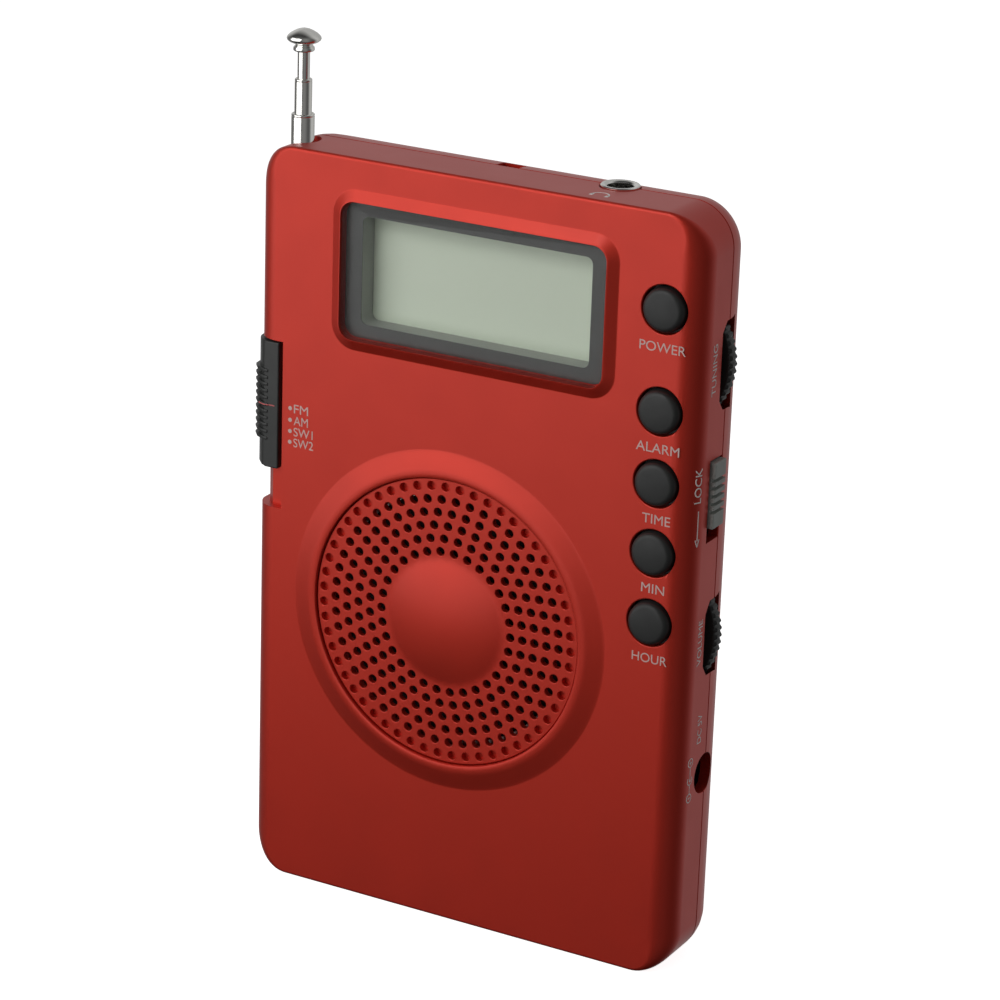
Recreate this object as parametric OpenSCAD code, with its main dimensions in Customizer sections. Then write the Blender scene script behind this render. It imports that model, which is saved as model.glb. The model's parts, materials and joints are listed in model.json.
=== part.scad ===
// Transistor pocket radio with a clock display.
// Millimetres. X to the right, Y from the front face to the back, Z up.
// The origin is the middle of the flat base. Depths are measured back from the flat front face.

/* [Case] */
// Width across the two sides
case_w = 68; // [67:0.5:70]
// Height from the base to the flat top
case_h = 107.5; // [107:0.5:110]
// Depth from the front face to the back
case_d = 19.5; // [19.5:0.5:22]
// Thickness of both cases
wall = 1.5; // [1.4:0.1:1.6]
// Depth of the joint between the front and back cases
split = 8.2; // [8.2:0.1:8.4]
// Corner radius of the front outline
corner_r = 6; // [5:0.5:6.5]
// Radius rolled along the left and right front edges
roll_r = 3.5; // [3:0.25:3.75]
// How far in from each side the back starts to curve away
back_run = 13.4; // [12:0.2:14]
// How far down from the top the back starts to curve away
back_run_top = 10; // [9:0.5:11]
// Radius along the back edge of the base
base_r = 3.5; // [2.5:0.5:4]
// Radius of the shank of a case screw
case_screw_r = 0.9; // [0.8:0.05:1]

/* [Speaker] */
// Centre of the speaker, right of the middle
speaker_x = -2.33; // [-3:0.01:-2]
// Height of the centre of the speaker
speaker_z = 44.7; // [44:0.1:46]
// Radius of the pressed grille disc
grille_r = 20.6; // [20.4:0.1:20.8]
// Thickness of the grille disc
grille_t = 0.9; // [0.6:0.1:1]
// Radius of the innermost ring of grille holes
hole_ring_r = 10.19; // [10:0.01:10.4]
// Step between rings of grille holes
hole_ring_step = 1.863; // [1.8:0.001:1.88]
// Number of rings of grille holes
hole_rings = 6; // [4:1:6]
// Radius of one grille hole
grille_hole_r = 0.62; // [0.55:0.01:0.65]
// Radius of the dome in the middle of the grille
dome_r = 9; // [8:0.25:9.25]
// Height of the dome
dome_h = 1.1; // [0.8:0.1:1.3]
// Outer radius of the raised ring round the grille
ring_r = 24.9; // [24:0.1:25.5]
// Height of the raised ring
ring_h = 0.8; // [0.6:0.1:1]
// Radius of the speaker frame
speaker_r = 20; // [19.5:0.1:20.2]

/* [Display] */
// Width of the display lens
lens_w = 40.1; // [39:0.1:41]
// Height of the display lens
lens_h = 19.1; // [18.5:0.1:19.5]
// Centre of the lens, right of the middle
lens_x = 0.12; // [0:0.01:0.3]
// Height of the centre of the lens
lens_z = 92; // [91.5:0.1:92.2]
// Width of the clear window
window_w = 34.9; // [34:0.1:35.5]
// Height of the clear window
window_h = 15.1; // [14.5:0.1:15.5]
// Height of the raised field round the lens
field_h = 0.8; // [0.7:0.1:0.9]

/* [Buttons] */
// Distance of the button column right of the middle
button_x = 28.5; // [28.2:0.1:28.6]
// Radius of one button
button_r = 3.05; // [2.95:0.05:3.2]
// How far a button stands proud of the front face
button_proud = 0.95; // [0.8:0.05:1.1]
// Radius of the flat face on a button
button_face_r = 2.45; // [2.3:0.05:2.6]

/* [Thumbwheels] */
// Radius of the tuning and volume wheels
wheel_r = 10; // [9.8:0.05:10]
// Thickness of the wheels
wheel_t = 1.9; // [1.7:0.1:1.9]
// How far the wheels stand out of the side
wheel_proud = 1.05; // [0.9:0.05:1.1]
// Height of the tuning wheel
tuning_z = 86.2; // [86:0.1:86.4]
// Height of the volume wheel
volume_z = 48.2; // [48:0.1:48.4]
// Number of notches round each wheel
wheel_notches = 60; // [48:4:64]

/* [Sliders] */
// Height of the lower end of the waveband slider
band_z = 61.3; // [61:0.1:61.5]
// Length of the waveband slider
band_l = 18.3; // [18:0.1:18.4]
// Step between two wavebands
band_step = 1.63; // [1.5:0.01:1.7]
// Height of the lower end of the lock slider
lock_z = 64.3; // [64.2:0.1:64.4]
// Length of the lock slider
lock_l = 9.2; // [9:0.1:9.3]

/* [Sockets] */
// Distance of the headphone socket right of the middle
jack_x = 17.2; // [17.1:0.1:17.3]
// Bore radius of the headphone socket
jack_bore_r = 1.78; // [1.76:0.01:1.8]
// Height of the power inlet
inlet_z = 28.2; // [28:0.1:28.4]
// Bore radius of the power inlet
inlet_bore_r = 2.8; // [2.7:0.05:2.9]

/* [Antenna] */
// Distance of the antenna right of the middle
antenna_x = -29.7; // [-29.8:0.05:-29.6]
// Depth of the antenna axis
antenna_depth = 4.9; // [4.8:0.05:5]
// Outer radii of the fixed socket tube, outer tube, inner tube and rod
antenna_r = [2, 1.6, 1.2, 0.85];
// Bore radii of the fixed socket tube, outer tube and inner tube
antenna_bore_r = [1.75, 1.38, 1];
// Length of the sliding outer tube
antenna_outer_l = 76; // [70:1:78]
// Length of the sliding inner tube
antenna_inner_l = 74; // [68:1:76]
// Length of the rod
antenna_rod_l = 72; // [66:1:74]

/* [Cells] */
// Radius of a AAA cell
cell_r = 5.2; // [5:0.05:5.25]
// Length of a AAA cell with its nub
cell_l = 44.5; // [44:0.1:44.5]

/* [Hidden] */
$fn = 64;
eps = 0.05;
gap = 0.1;
half_w = case_w / 2;
back_rise = case_d - split;
inner_front = wall;
grille_front = -0.3;
ledge_front = grille_front + grille_t;
ledge_r = speaker_r - 1.3;
// Depths of the boards and of what stands on them
board_front = 9.8;
board_t = 1;
board_back = board_front + board_t;
key_board_front = 4.6;
key_board_t = 0.8;
key_board_back = key_board_front + key_board_t;
wheel_front = 7.45;
wheel_back = wheel_front + wheel_t;
wheel_x = half_w + wheel_proud - wheel_r;
shaft_seat = 0.8;
tuning_shaft_r = 3;
volume_shaft_r = 2;
tuning_slot_r = wheel_r + 0.83;
volume_slot_r = wheel_r + 0.45;
tuning_slot_front = 6.3;
volume_slot_front = 5.7;
wheel_slot_back = 10.1;
// The front edge of a wheel slot is shorter than the rest and widens over this depth
slot_nose = 0.75;
slot_nose_depth = 1.2;
button_hole_r = button_r + 0.25;
button_heights = [94.6, 80.8, 70.9, 61.2, 51.4];
// Case screws and board posts as [x, z]
case_screws_at = [[-23.8, 102.4], [26.5, 102.4], [-30.2, 14], [30.2, 14]];
board_screws_at = [[-24.5, 29.5], [-24, 89], [16.5, 67.5], [15.5, 29]];
key_screws_at = [[24.2, 88.5], [24.2, 56.3]];
post_r = 1.9;
post_hole_r = 0.8;
screw_head_r = 1.7;
screw_head_h = 1.1;
case_head_depth = 11.5;
case_head_r = 1.9;
// Display stack
lens_front = -0.6;
lens_t = 1.25;
mask_t = 0.15;
lens_seat = lens_front + lens_t + mask_t;
lens_r = 2.1;
wheel_screw_r = 0.7;
window_r = 1;
well_wall = 0.6;
well_back = 3.9;
panel_t = 1.0;
// Slider and socket heights
band_top = 79.9;
band_travel = 3 * band_step;
band_bottom = band_z - band_travel - 0.8;
// Heights of the lower and upper side of the arm that moves the waveband switch
band_arm_z = [69.9, 72.9];
// The same for the arm that moves the lock switch
lock_arm_z = [lock_z + 3.6, lock_z + 5.6];
lock_travel = 1.7;
lock_slot_top = lock_z + lock_l + 0.3;
lock_slot_bottom = lock_z - lock_travel - 0.3;
lock_slot_front = 4.6;
lock_front = lock_slot_front + 0.3;
lock_back = split - 0.15;
lock_low_x = 32.95;
lock_high_x = half_w + 0.75;
lock_groove_h = 0.6;
lock_groove_w = 0.5;
jack_bottom = 95.2;
jack_ring_r = 2.65;
jack_collar_h = 0.25;
inlet_depth = 7.9;
inlet_hole_r = 2.85;
// Antenna heights as stored in this position
antenna_socket_bottom = 26.5;
antenna_socket_top = 103.9;
antenna_tops = [111, 115.8, 119.5];
antenna_recess_r = 2.6;
// Cell compartment
cell_depth = 12.3;
cell_heights = [7, 17.8];
bay_half = 25.35;
bay_plate = 0.9;
bay_front = 5.4;
bay_top = 23.2;
bay_back = 16.9;
contact_t = 0.35;
tail_top = 25.6;
door_half = 24.6;
door_h = 24;
door_front = 16;
door_play = 0.2;
// Ferrite rod as [depth, z], and the leads with the solder pads under their ends
ferrite_at = [14.2, 98.3];
ferrite_r = 2.6;
lead_r = 0.45;
lead_steps = 12;
pad_t = 0.1;

// ---- Helpers ----

// Moves depths measured from the front face into the frame of the whole object
module from_front() {
    translate([0, -case_d / 2, 0]) children();
}

// Extrudes an outline of width and height backwards from a depth
module along_depth(start, length) {
    translate([0, start + length, 0]) rotate([90, 0, 0]) linear_extrude(length) children();
}

// Extrudes an outline of depth and height to the right from x = start
module along_width(start, length) {
    translate([start, 0, 0]) rotate([90, 0, 90]) linear_extrude(length) children();
}

// A round bar that runs backwards from a depth, at a place given as [x, z]
module bar(place, radius, start, length) {
    translate([place[0], start, place[1]]) rotate([-90, 0, 0]) cylinder(r = radius, h = length);
}

// A block between two corners given as [x, depth, z]
module block(low, high) {
    translate(low) cube(high - low);
}

// A piece turned about an axis that runs backwards at [x, z], from an outline of radius and depth
module turned_at(place) {
    translate([place[0], 0, place[1]]) rotate([-90, 0, 0]) rotate_extrude() children();
}

module rounded_outline(w, h, r) {
    translate([-w / 2, -h / 2 + r]) square([w, h - 2 * r]);
    translate([-w / 2 + r, -h / 2]) square([w - 2 * r, h]);
    for (x = [-1, 1], z = [-1, 1]) {
        translate([x * (w / 2 - r), z * (h / 2 - r)]) circle(r);
    }
}

// A screw with its head towards the back, at [x, z], with the underside of the head at a depth
module screw_from_back(place, under_head, head_r, shank_r, length) {
    difference() {
        bar(place, head_r, under_head, screw_head_h);
        translate([place[0] - head_r, under_head + 0.7, place[1] - 0.2]) cube([2 * head_r, 1, 0.4]);
    }
    bar(place, shank_r, under_head - length, length + eps);
}

function unit(v) = v / norm(v);

// A round tube along a path that nowhere runs parallel to the X axis
module tube_along(path, radius, sides = 8) {
    last = len(path) - 1;
    rings = [
        for (i = [0:last])
            let (
                tangent = unit(path[min(i + 1, last)] - path[max(i - 1, 0)]),
                across = unit(cross(tangent, [1, 0, 0])),
                over = cross(tangent, across)
            )
            for (k = [0:sides - 1])
                let (a = 360 * k / sides)
                path[i] + radius * (cos(a) * across + sin(a) * over)
    ];
    walls = [
        for (i = [0:last - 1], k = [0:sides - 1])
            let (n = (k + 1) % sides)
            [i * sides + k, (i + 1) * sides + k, (i + 1) * sides + n, i * sides + n]
    ];
    start_cap = [[for (k = [0:sides - 1]) k]];
    end_cap = [[for (k = [0:sides - 1]) last * sides + sides - 1 - k]];
    polyhedron(rings, concat(walls, start_cap, end_cap));
}

function bezier(a, b, c, d, t) =
    pow(1 - t, 3) * a + 3 * pow(1 - t, 2) * t * b + 3 * (1 - t) * t * t * c + pow(t, 3) * d;

// ---- Cases ----

module front_solid(inset, end) {
    r = roll_r - inset;
    w = case_w - 2 * inset;
    intersection() {
        along_depth(inset, end - inset)
            translate([0, case_h / 2]) rounded_outline(w, case_h - 2 * inset, corner_r - inset);
        linear_extrude(case_h) {
            translate([-w / 2, inset + r]) square([w, end - inset - r]);
            translate([-w / 2 + r, inset]) square([w - 2 * r, end - inset]);
            for (side = [-1, 1]) translate([side * (w / 2 - r), inset + r]) circle(r);
        }
    }
}

module back_solid(inset, start) {
    half = half_w - inset;
    run = back_run - inset;
    rise = back_rise - inset;
    run_top = back_run_top - inset;
    r = base_r - inset;
    top = case_h - inset;
    back = split + rise;
    steps = [0:9:90];
    intersection() {
        along_depth(start, back - start)
            translate([0, case_h / 2]) rounded_outline(2 * half, case_h - 2 * inset, corner_r - inset);
        linear_extrude(case_h)
            polygon(concat(
                [[half, start]],
                [for (a = steps) [half - run + run * cos(a), split + rise * sin(a)]],
                [for (a = steps) [-half + run - run * sin(a), split + rise * cos(a)]],
                [[-half, start]]
            ));
        along_width(-half_w, case_w)
            polygon(concat(
                [[start, top], [start, inset]],
                [for (a = steps) [back - r + r * sin(a), inset + r - r * cos(a)]],
                [for (a = steps) [split + rise * cos(a), top - run_top + run_top * sin(a)]]
            ));
    }
}

module front_shell() {
    difference() {
        front_solid(0, split);
        front_solid(wall, split + 1);
    }
}

module back_shell() {
    difference() {
        back_solid(0, split);
        back_solid(wall, split - 1);
    }
}

module display_field() {
    rim = 2.2;
    along_depth(-field_h, field_h + eps) translate([lens_x, lens_z])
        rounded_outline(lens_w + 2 * rim, lens_h + 2 * rim, lens_r + 1.5);
}

module speaker_ring() {
    ledge_r = grille_r - 2;
    crest_r = grille_r + 0.8;
    translate([speaker_x, 0, speaker_z]) rotate([90, 0, 0]) rotate_extrude()
        polygon([
            [ledge_r, -inner_front], [ring_r, -inner_front], [ring_r, 0],
            [crest_r, ring_h], [ledge_r, ring_h]
        ]);
}

// Inner thickening of the case behind the recess of the waveband slider: points run
// from the front wall round the corner to the side wall, as [across, depth]
module band_backing() {
    translate([0, 0, band_bottom - 1]) linear_extrude(band_top - band_bottom + 2)
        polygon([
            [-28.3, 1.3], [-28.3, 2.4], [-31, 2.4], [-31.85, 3.2], [-31.85, split],
            [-33, split], [-33, 2.6], [-31.6, 1.3]
        ]);
}

module band_recess() {
    translate([0, 0, band_bottom]) linear_extrude(band_top - band_bottom)
        polygon([
            [-29.3, -2], [-29.3, 1.3], [-31.5, 1.3], [-32.75, 2.55], [-32.75, split + eps],
            [-36, split + eps], [-36, -2]
        ]);
    block([-34, 7.1, band_arm_z[0] - band_travel - 0.4], [-31, split + eps, band_arm_z[1] + 0.4]);
}

module headphone_hole() {
    translate([jack_x, split, case_h - 3]) cylinder(r = jack_ring_r + gap, h = 6);
}

module inlet_hole() {
    translate([half_w - 4, inlet_depth, inlet_z]) rotate([0, 90, 0]) cylinder(r = inlet_hole_r, h = 8);
}

module wheel_slot(z, radius, slot_front, end) {
    turned_at([wheel_x, z])
        polygon([
            [0, slot_front], [radius - slot_nose, slot_front], [radius, slot_front + slot_nose_depth],
            [radius, end], [0, end]
        ]);
}

module wheel_slots(end) {
    wheel_slot(tuning_z, tuning_slot_r, tuning_slot_front, end);
    wheel_slot(volume_z, volume_slot_r, volume_slot_front, end);
}

module lock_slot() {
    block([31, lock_slot_front, lock_slot_bottom], [half_w + 2, split + 1, lock_slot_top]);
}

module antenna_hole() {
    translate([antenna_x, antenna_depth, case_h - 4]) cylinder(r = antenna_bore_r[0] + 0.05, h = 8);
    translate([antenna_x, antenna_depth, case_h - 0.9]) cylinder(r = antenna_recess_r, h = 4);
}

module post(place, tip) {
    difference() {
        bar(place, post_r, inner_front - eps, tip - inner_front + eps);
        bar(place, post_hole_r, inner_front + 1, tip);
    }
}

module case_post(place) {
    difference() {
        bar(place, post_r, inner_front - eps, split - inner_front + eps);
        bar(place, case_screw_r, inner_front + 1, split);
    }
}

module front_case() {
    color("#b5382c") from_front() {
        difference() {
            union() {
                front_shell();
                display_field();
                speaker_ring();
                band_backing();
            }
            bar([speaker_x, speaker_z], ledge_r, -3, 8);
            bar([speaker_x, speaker_z], grille_r + gap, -3, 3 + ledge_front);
            along_depth(-2, 2 + lens_seat) translate([lens_x, lens_z])
                rounded_outline(lens_w + 0.2, lens_h + 0.2, lens_r);
            along_depth(-2, 6) translate([lens_x, lens_z])
                rounded_outline(window_w + 2 * well_wall + 0.6, window_h + 2 * well_wall + 0.6, window_r);
            for (z = button_heights) bar([button_x, z], button_hole_r, -2, 6);
            wheel_slots(split + 1);
            lock_slot();
            band_recess();
            headphone_hole();
            inlet_hole();
            antenna_hole();
        }
        for (place = case_screws_at) case_post(place);
        for (place = board_screws_at) post(place, board_front);
        for (place = key_screws_at) post(place, key_board_front);
    }
}

module cell_bay() {
    block([-bay_half - bay_plate, bay_front, wall + 0.2], [bay_half + bay_plate, bay_front + 1, bay_top + 1]);
    block([-bay_half - bay_plate, bay_front, bay_top], [bay_half + bay_plate, bay_back, bay_top + 1]);
    for (side = [-1, 1]) {
        low = side > 0 ? bay_half : -bay_half - bay_plate;
        block([low, bay_front, wall + 0.2], [low + bay_plate, case_d - wall - 0.45, bay_top + 1]);
    }
}

module door_opening() {
    half = door_half + door_play;
    block([-half, door_front - 0.15, -1], [half, case_d + 1, base_r]);
    block([-half, bay_back + 0.1, 0], [half, case_d + 1, door_h + door_play]);
}

module pry_notch() {
    block([-1.4, split - 1, case_h - 1], [2, split + 2.3, case_h + 1]);
}

module back_case() {
    color("#a83226") from_front() difference() {
        union() {
            back_shell();
            cell_bay();
            intersection() {
                back_solid(wall / 2, split);
                for (place = case_screws_at) bar(place, case_head_r + 1, split, case_d);
            }
        }
        for (place = case_screws_at) {
            bar(place, case_screw_r + 0.2, split - 1, case_d);
            bar(place, case_head_r, case_head_depth, case_d);
        }
        door_opening();
        for (side = [-1, 1]) translate([side * (bay_half - contact_t / 2), cell_depth, bay_top])
            cube([contact_t + 0.1, 1.8, 4], center = true);
        wheel_slots(wheel_slot_back);
        headphone_hole();
        inlet_hole();
        pry_notch();
    }
}

module battery_door() {
    color("#a83226") from_front() {
        intersection() {
            back_shell();
            block([-door_half, door_front, -1], [door_half, case_d + 1, door_h]);
        }
    }
}

// ---- Speaker ----

module speaker_grille() {
    color("#c23f31") from_front() translate([speaker_x, 0, speaker_z]) {
        along_depth(grille_front, grille_t) difference() {
            circle(grille_r);
            for (ring = [0:hole_rings - 1]) {
                count = 30 + 5 * ring;
                for (i = [0:count - 1])
                    rotate(360 * i / count) translate([hole_ring_r + hole_ring_step * ring, 0])
                        circle(grille_hole_r, $fn = 16);
            }
        }
        translate([0, grille_front + eps, 0]) rotate([90, 0, 0]) rotate_extrude()
            polygon(concat([[0, 0]], [for (t = [0:0.1:1]) [dome_r * (1 - t), (dome_h + eps) * t * (2 - t)]]));
    }
}

module speaker_frame() {
    front = inner_front + eps;
    color("#b9bcb8") from_front() turned_at([speaker_x, speaker_z]) {
        polygon([
            [speaker_r - 2.2, front], [speaker_r, front], [speaker_r, front + 0.8],
            [speaker_r - 1.6, front + 0.8], [10, front + 4.4], [4.2, front + 4.4],
            [4.2, front + 3.8], [9.6, front + 3.8], [speaker_r - 2.2, front + 0.5]
        ]);
    }
}

module speaker_cone() {
    front = inner_front + eps;
    color("#2b2a2a") from_front() turned_at([speaker_x, speaker_z]) {
        polygon([
            [0, front + 1.6], [4.5, front + 2.4], [8, front + 2.6], [speaker_r - 3.4, front + 0.5],
            [speaker_r - 2.3, front + 0.1], [speaker_r - 2.3, front + 0.35],
            [speaker_r - 3.4, front + 0.8], [8, front + 2.9], [4.5, front + 2.7], [4, front + 3.9],
            [3.7, front + 3.9], [3.7, front + 2.5], [0, front + 1.9]
        ]);
    }
}

module speaker_magnet() {
    front = inner_front + eps + 4.4;
    color("#6d6f70") from_front() turned_at([speaker_x, speaker_z]) {
        translate([0, front]) square([8, 2.4]);
        translate([0, front + 2.4]) square([8.6, 0.6]);
    }
}

// ---- Display ----

module at_lens() {
    from_front() translate([lens_x, 0, lens_z]) children();
}

module display_lens() {
    color("#d8dcd8", 0.4) at_lens()
        along_depth(lens_front, lens_t) rounded_outline(lens_w, lens_h, lens_r - 0.1);
}

module display_mask() {
    color("#55564f") at_lens() along_depth(lens_front + lens_t, mask_t) difference() {
        rounded_outline(lens_w, lens_h, lens_r - 0.1);
        rounded_outline(window_w, window_h, window_r);
    }
}

module display_well() {
    hole_w = window_w + 0.2;
    hole_h = window_h + 0.2;
    tube_w = hole_w + 2 * well_wall;
    tube_h = hole_h + 2 * well_wall;
    flange_w = window_w + 6.2;
    flange_h = window_h + 5.4;
    color("#7a7c75") at_lens() difference() {
        union() {
            along_depth(lens_seat, well_back - lens_seat)
                rounded_outline(tube_w, tube_h, window_r + well_wall);
            along_depth(inner_front, well_back - inner_front)
                rounded_outline(flange_w, flange_h, window_r + 1);
        }
        along_depth(lens_seat - 1, well_back + 1) rounded_outline(hole_w, hole_h, window_r);
    }
}

module display_panel() {
    side_rim = 1.8;
    low_rim = 2.2;
    high_rim = 2.6;
    color("#b8c3b2") at_lens()
        block([-window_w / 2 - side_rim, well_back, -window_h / 2 - low_rim],
              [window_w / 2 + side_rim, well_back + panel_t, window_h / 2 + high_rim]);
}

module display_connector() {
    color("#c9a4a0") at_lens()
        block([-14, well_back + panel_t, window_h / 2 + 0.6], [12.6, board_front, window_h / 2 + 2.4]);
}

// ---- Boards and keys ----

module main_board() {
    half = 31;
    low_z = 26.8;
    step_z = 94.4;
    top_z = 103;
    neck_x = [-20.5, 13.6];
    inlet_notch = [19.4, 33];
    color("#2f6b3a") from_front() difference() {
        union() {
            block([-half, board_front, low_z], [half, board_back, step_z]);
            block([neck_x[0], board_front, step_z - 1], [neck_x[1], board_back, top_z]);
        }
        block([inlet_notch[0], board_front - 1, low_z - 1], [half + 1, board_back + 1, inlet_notch[1]]);
        bar([wheel_x, tuning_z], tuning_shaft_r + 0.3, board_front - 1, board_t + 2);
        bar([wheel_x, volume_z], volume_shaft_r + 0.3, board_front - 1, board_t + 2);
        for (place = board_screws_at) bar(place, post_hole_r + gap, board_front - 1, board_t + 2);
    }
}

module key_board() {
    low = [22.2, 47.2];
    high = [31.4, 99.4];
    color("#3a7040") from_front() difference() {
        block([low[0], key_board_front, low[1]], [high[0], key_board_back, high[1]]);
        for (place = key_screws_at) bar(place, post_hole_r + gap, key_board_front - 1, key_board_t + 2);
    }
}

module key_switches() {
    half = 2.4;
    switch_t = 1.3;
    plunger_r = 1;
    plunger_h = 0.3;
    for (z = button_heights) {
        color("#b9bcbe") from_front()
            block([button_x - half, key_board_front - switch_t, z - half],
                  [button_x + half, key_board_front, z + half]);
        color("#2b2a2a") from_front()
            bar([button_x, z], plunger_r, key_board_front - switch_t - plunger_h, plunger_h + eps);
    }
}

module button(z) {
    back = inner_front + gap;
    flange_w = 4.8;
    flange_h = 8;
    flange_t = 0.5;
    stem_r = 1.2;
    stem_h = 0.3;
    color("#2e2b2b") from_front() {
        turned_at([button_x, z])
            polygon([
                [0, back], [0, -button_proud], [button_face_r, -button_proud + 0.08],
                [button_face_r + 0.25, -button_proud + 0.3], [button_r, 0], [button_r, back]
            ]);
        block([button_x - flange_w / 2, back - eps, z - flange_h / 2],
              [button_x + flange_w / 2, back + flange_t, z + flange_h / 2]);
        bar([button_x, z], stem_r, back + flange_t - eps, stem_h + eps);
    }
}

module power_button() { button(button_heights[0]); }
module alarm_button() { button(button_heights[1]); }
module time_button() { button(button_heights[2]); }
module minute_button() { button(button_heights[3]); }
module hour_button() { button(button_heights[4]); }

// ---- Sliders ----

module band_slider() {
    ridges = 11;
    ridge_pitch = 0.98;
    color("#333232") from_front() {
        translate([0, 0, band_z]) linear_extrude(band_l)
            polygon([
                [-30, 0], [-32.2, 0], [-34.2, 2], [-34.4, 2.9], [-34.4, 7.9], [-32.95, 7.9],
                [-32.95, 2.6], [-31.55, 1.15], [-30, 1.15]
            ]);
        for (i = [0:ridges - 1])
            translate([0, 0, band_z + band_l / 2 + (i - (ridges - 1) / 2) * ridge_pitch - 0.25])
                linear_extrude(0.5)
                    polygon([
                        [-31.9, -0.05], [-32.4, -0.05], [-34.75, 2], [-34.95, 3], [-34.95, 7.4],
                        [-34.3, 7.6], [-34.3, 2.9], [-34.1, 2.1], [-32.2, 0.2]
                    ]);
        block([-33.2, 7.25, band_arm_z[0]], [-28.9, 8.05, band_arm_z[1]]);
    }
}

// The switch body, with a slot in which the slider's arm travels
module band_switch() {
    play = 0.3;
    color("#b4b6b8") from_front() difference() {
        block([-30.2, 7.1, 59.5], [-25, board_front, 79.5]);
        block([-31, 6, band_arm_z[0] - band_travel - play], [-28.6, 8.2, band_arm_z[1] + play]);
    }
}

module lock_slider() {
    grooves = 5;
    pitch = 1.1;
    color("#8d8f8c") from_front() {
        difference() {
            block([lock_low_x, lock_front, lock_z], [lock_high_x, lock_back, lock_z + lock_l]);
            for (i = [0:grooves - 1]) {
                z = lock_z + lock_l / 2 + (i - (grooves - 1) / 2) * pitch;
                block([lock_high_x - lock_groove_h, lock_front - 1, z - lock_groove_w / 2],
                      [lock_high_x + 1, lock_back + 1, z + lock_groove_w / 2]);
            }
        }
        // The plate behind the wall, the neck in the slot and the arm that moves the switch
        block([31.75, 4.3, lock_z - 0.9], [32.3, 8, lock_z + lock_l + 0.9]);
        block([32.2, 5.2, lock_z + 1], [lock_low_x + eps, 7.6, lock_z + lock_l - 1]);
        block([29.2, 7.3, lock_arm_z[0]], [31.8, 8, lock_arm_z[1]]);
    }
}

// The switch body, with a slot in which the slider's arm travels
module lock_switch() {
    play = 0.3;
    color("#b4b6b8") from_front() difference() {
        block([25.6, 7, 61.6], [30.6, board_front, 72.4]);
        block([28.9, 6, lock_arm_z[0] - lock_travel - play], [31, 8.2, lock_arm_z[1] + play]);
    }
}

// ---- Thumbwheels ----

module thumbwheel(z, shaft_r) {
    seat = wheel_front + shaft_seat;
    notch_r = 0.42;
    notch_out = 0.18;
    color("#3b3a3a") from_front() translate([wheel_x, 0, z]) difference() {
        along_depth(wheel_front, wheel_t) difference() {
            circle(wheel_r, $fn = 96);
            for (i = [0:wheel_notches - 1])
                rotate(360 * (i + 0.5) / wheel_notches)
                    translate([wheel_r + notch_out, 0]) circle(notch_r, $fn = 16);
        }
        bar([0, 0], 1, wheel_front - 1, 3);
        bar([0, 0], shaft_r, seat, wheel_t);
    }
}

module wheel_shaft(z, radius) {
    seat = wheel_front + shaft_seat;
    end = 12.6;
    screw_hole_l = 2.4;
    color("#b9a15c") from_front() difference() {
        bar([wheel_x, z], radius, seat, end - seat);
        bar([wheel_x, z], wheel_screw_r, seat - 1, screw_hole_l + 1);
    }
}

module wheel_screw(z) {
    head_r = 1.9;
    head_t = 0.8;
    shank_l = 3;
    color("#c4c6c8") from_front() {
        bar([wheel_x, z], head_r, wheel_front - head_t, head_t);
        bar([wheel_x, z], wheel_screw_r, wheel_front - eps, shank_l);
    }
}

module tuning_wheel() { thumbwheel(tuning_z, tuning_shaft_r); }
module tuning_shaft() { wheel_shaft(tuning_z, tuning_shaft_r); }
module tuning_screw() { wheel_screw(tuning_z); }
module volume_wheel() { thumbwheel(volume_z, volume_shaft_r); }
module volume_shaft() { wheel_shaft(volume_z, volume_shaft_r); }
module volume_screw() { wheel_screw(volume_z); }

module tuning_capacitor() {
    left = wheel_x - 6.2;
    right = wheel_x + 4.9;
    back = board_back + 3.1;
    half_h = 6;
    color("#e6e4d8") from_front() difference() {
        block([left, board_back, tuning_z - half_h], [right, back, tuning_z + half_h]);
        bar([wheel_x, tuning_z], tuning_shaft_r + 0.12, board_back - 1, 3);
    }
}

module volume_control() {
    color("#6b4a2c") from_front() difference() {
        bar([wheel_x, volume_z], 5, board_back, 3.1);
        bar([wheel_x, volume_z], volume_shaft_r + 0.12, board_back - 1, 3);
    }
}

// ---- Sockets ----

module headphone_socket() {
    color("#5b5d60") from_front() difference() {
        union() {
            block([jack_x - 3, split - 3.2, jack_bottom], [jack_x + 3, split + 3.2, case_h - wall - 0.8]);
            translate([jack_x, split, case_h - wall - 0.9])
                cylinder(r = jack_ring_r, h = wall + 0.9 + jack_collar_h);
        }
        translate([jack_x, split, jack_bottom - 1]) cylinder(r = jack_bore_r, h = 20);
    }
}

module power_inlet() {
    low = inlet_bore_r + 0.75;
    end = 31.4;
    color("#232323") from_front() difference() {
        block([20.3, inlet_depth - low, inlet_z - low], [end, inlet_depth + low, inlet_z + low]);
        translate([22.5, inlet_depth, inlet_z]) rotate([0, 90, 0]) cylinder(r = inlet_bore_r, h = 20);
    }
}

module inlet_pin() {
    color("#c9cbcc") from_front() translate([22.5, inlet_depth, inlet_z]) rotate([0, 90, 0])
        cylinder(r = 0.85, h = 8);
}

// ---- Antenna ----

module antenna_stage(radius, bore_r, low, high) {
    from_front() translate([antenna_x, antenna_depth, low]) difference() {
        cylinder(r = radius, h = high - low);
        translate([0, 0, 1.5]) cylinder(r = bore_r, h = high - low);
    }
}

module antenna_socket() {
    color("#c9cbcc")
        antenna_stage(antenna_r[0], antenna_bore_r[0], antenna_socket_bottom, antenna_socket_top);
}

module antenna_outer_tube() {
    color("#d7d8d9") antenna_stage(
        antenna_r[1], antenna_bore_r[1], antenna_tops[0] - antenna_outer_l, antenna_tops[0]);
}

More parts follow.
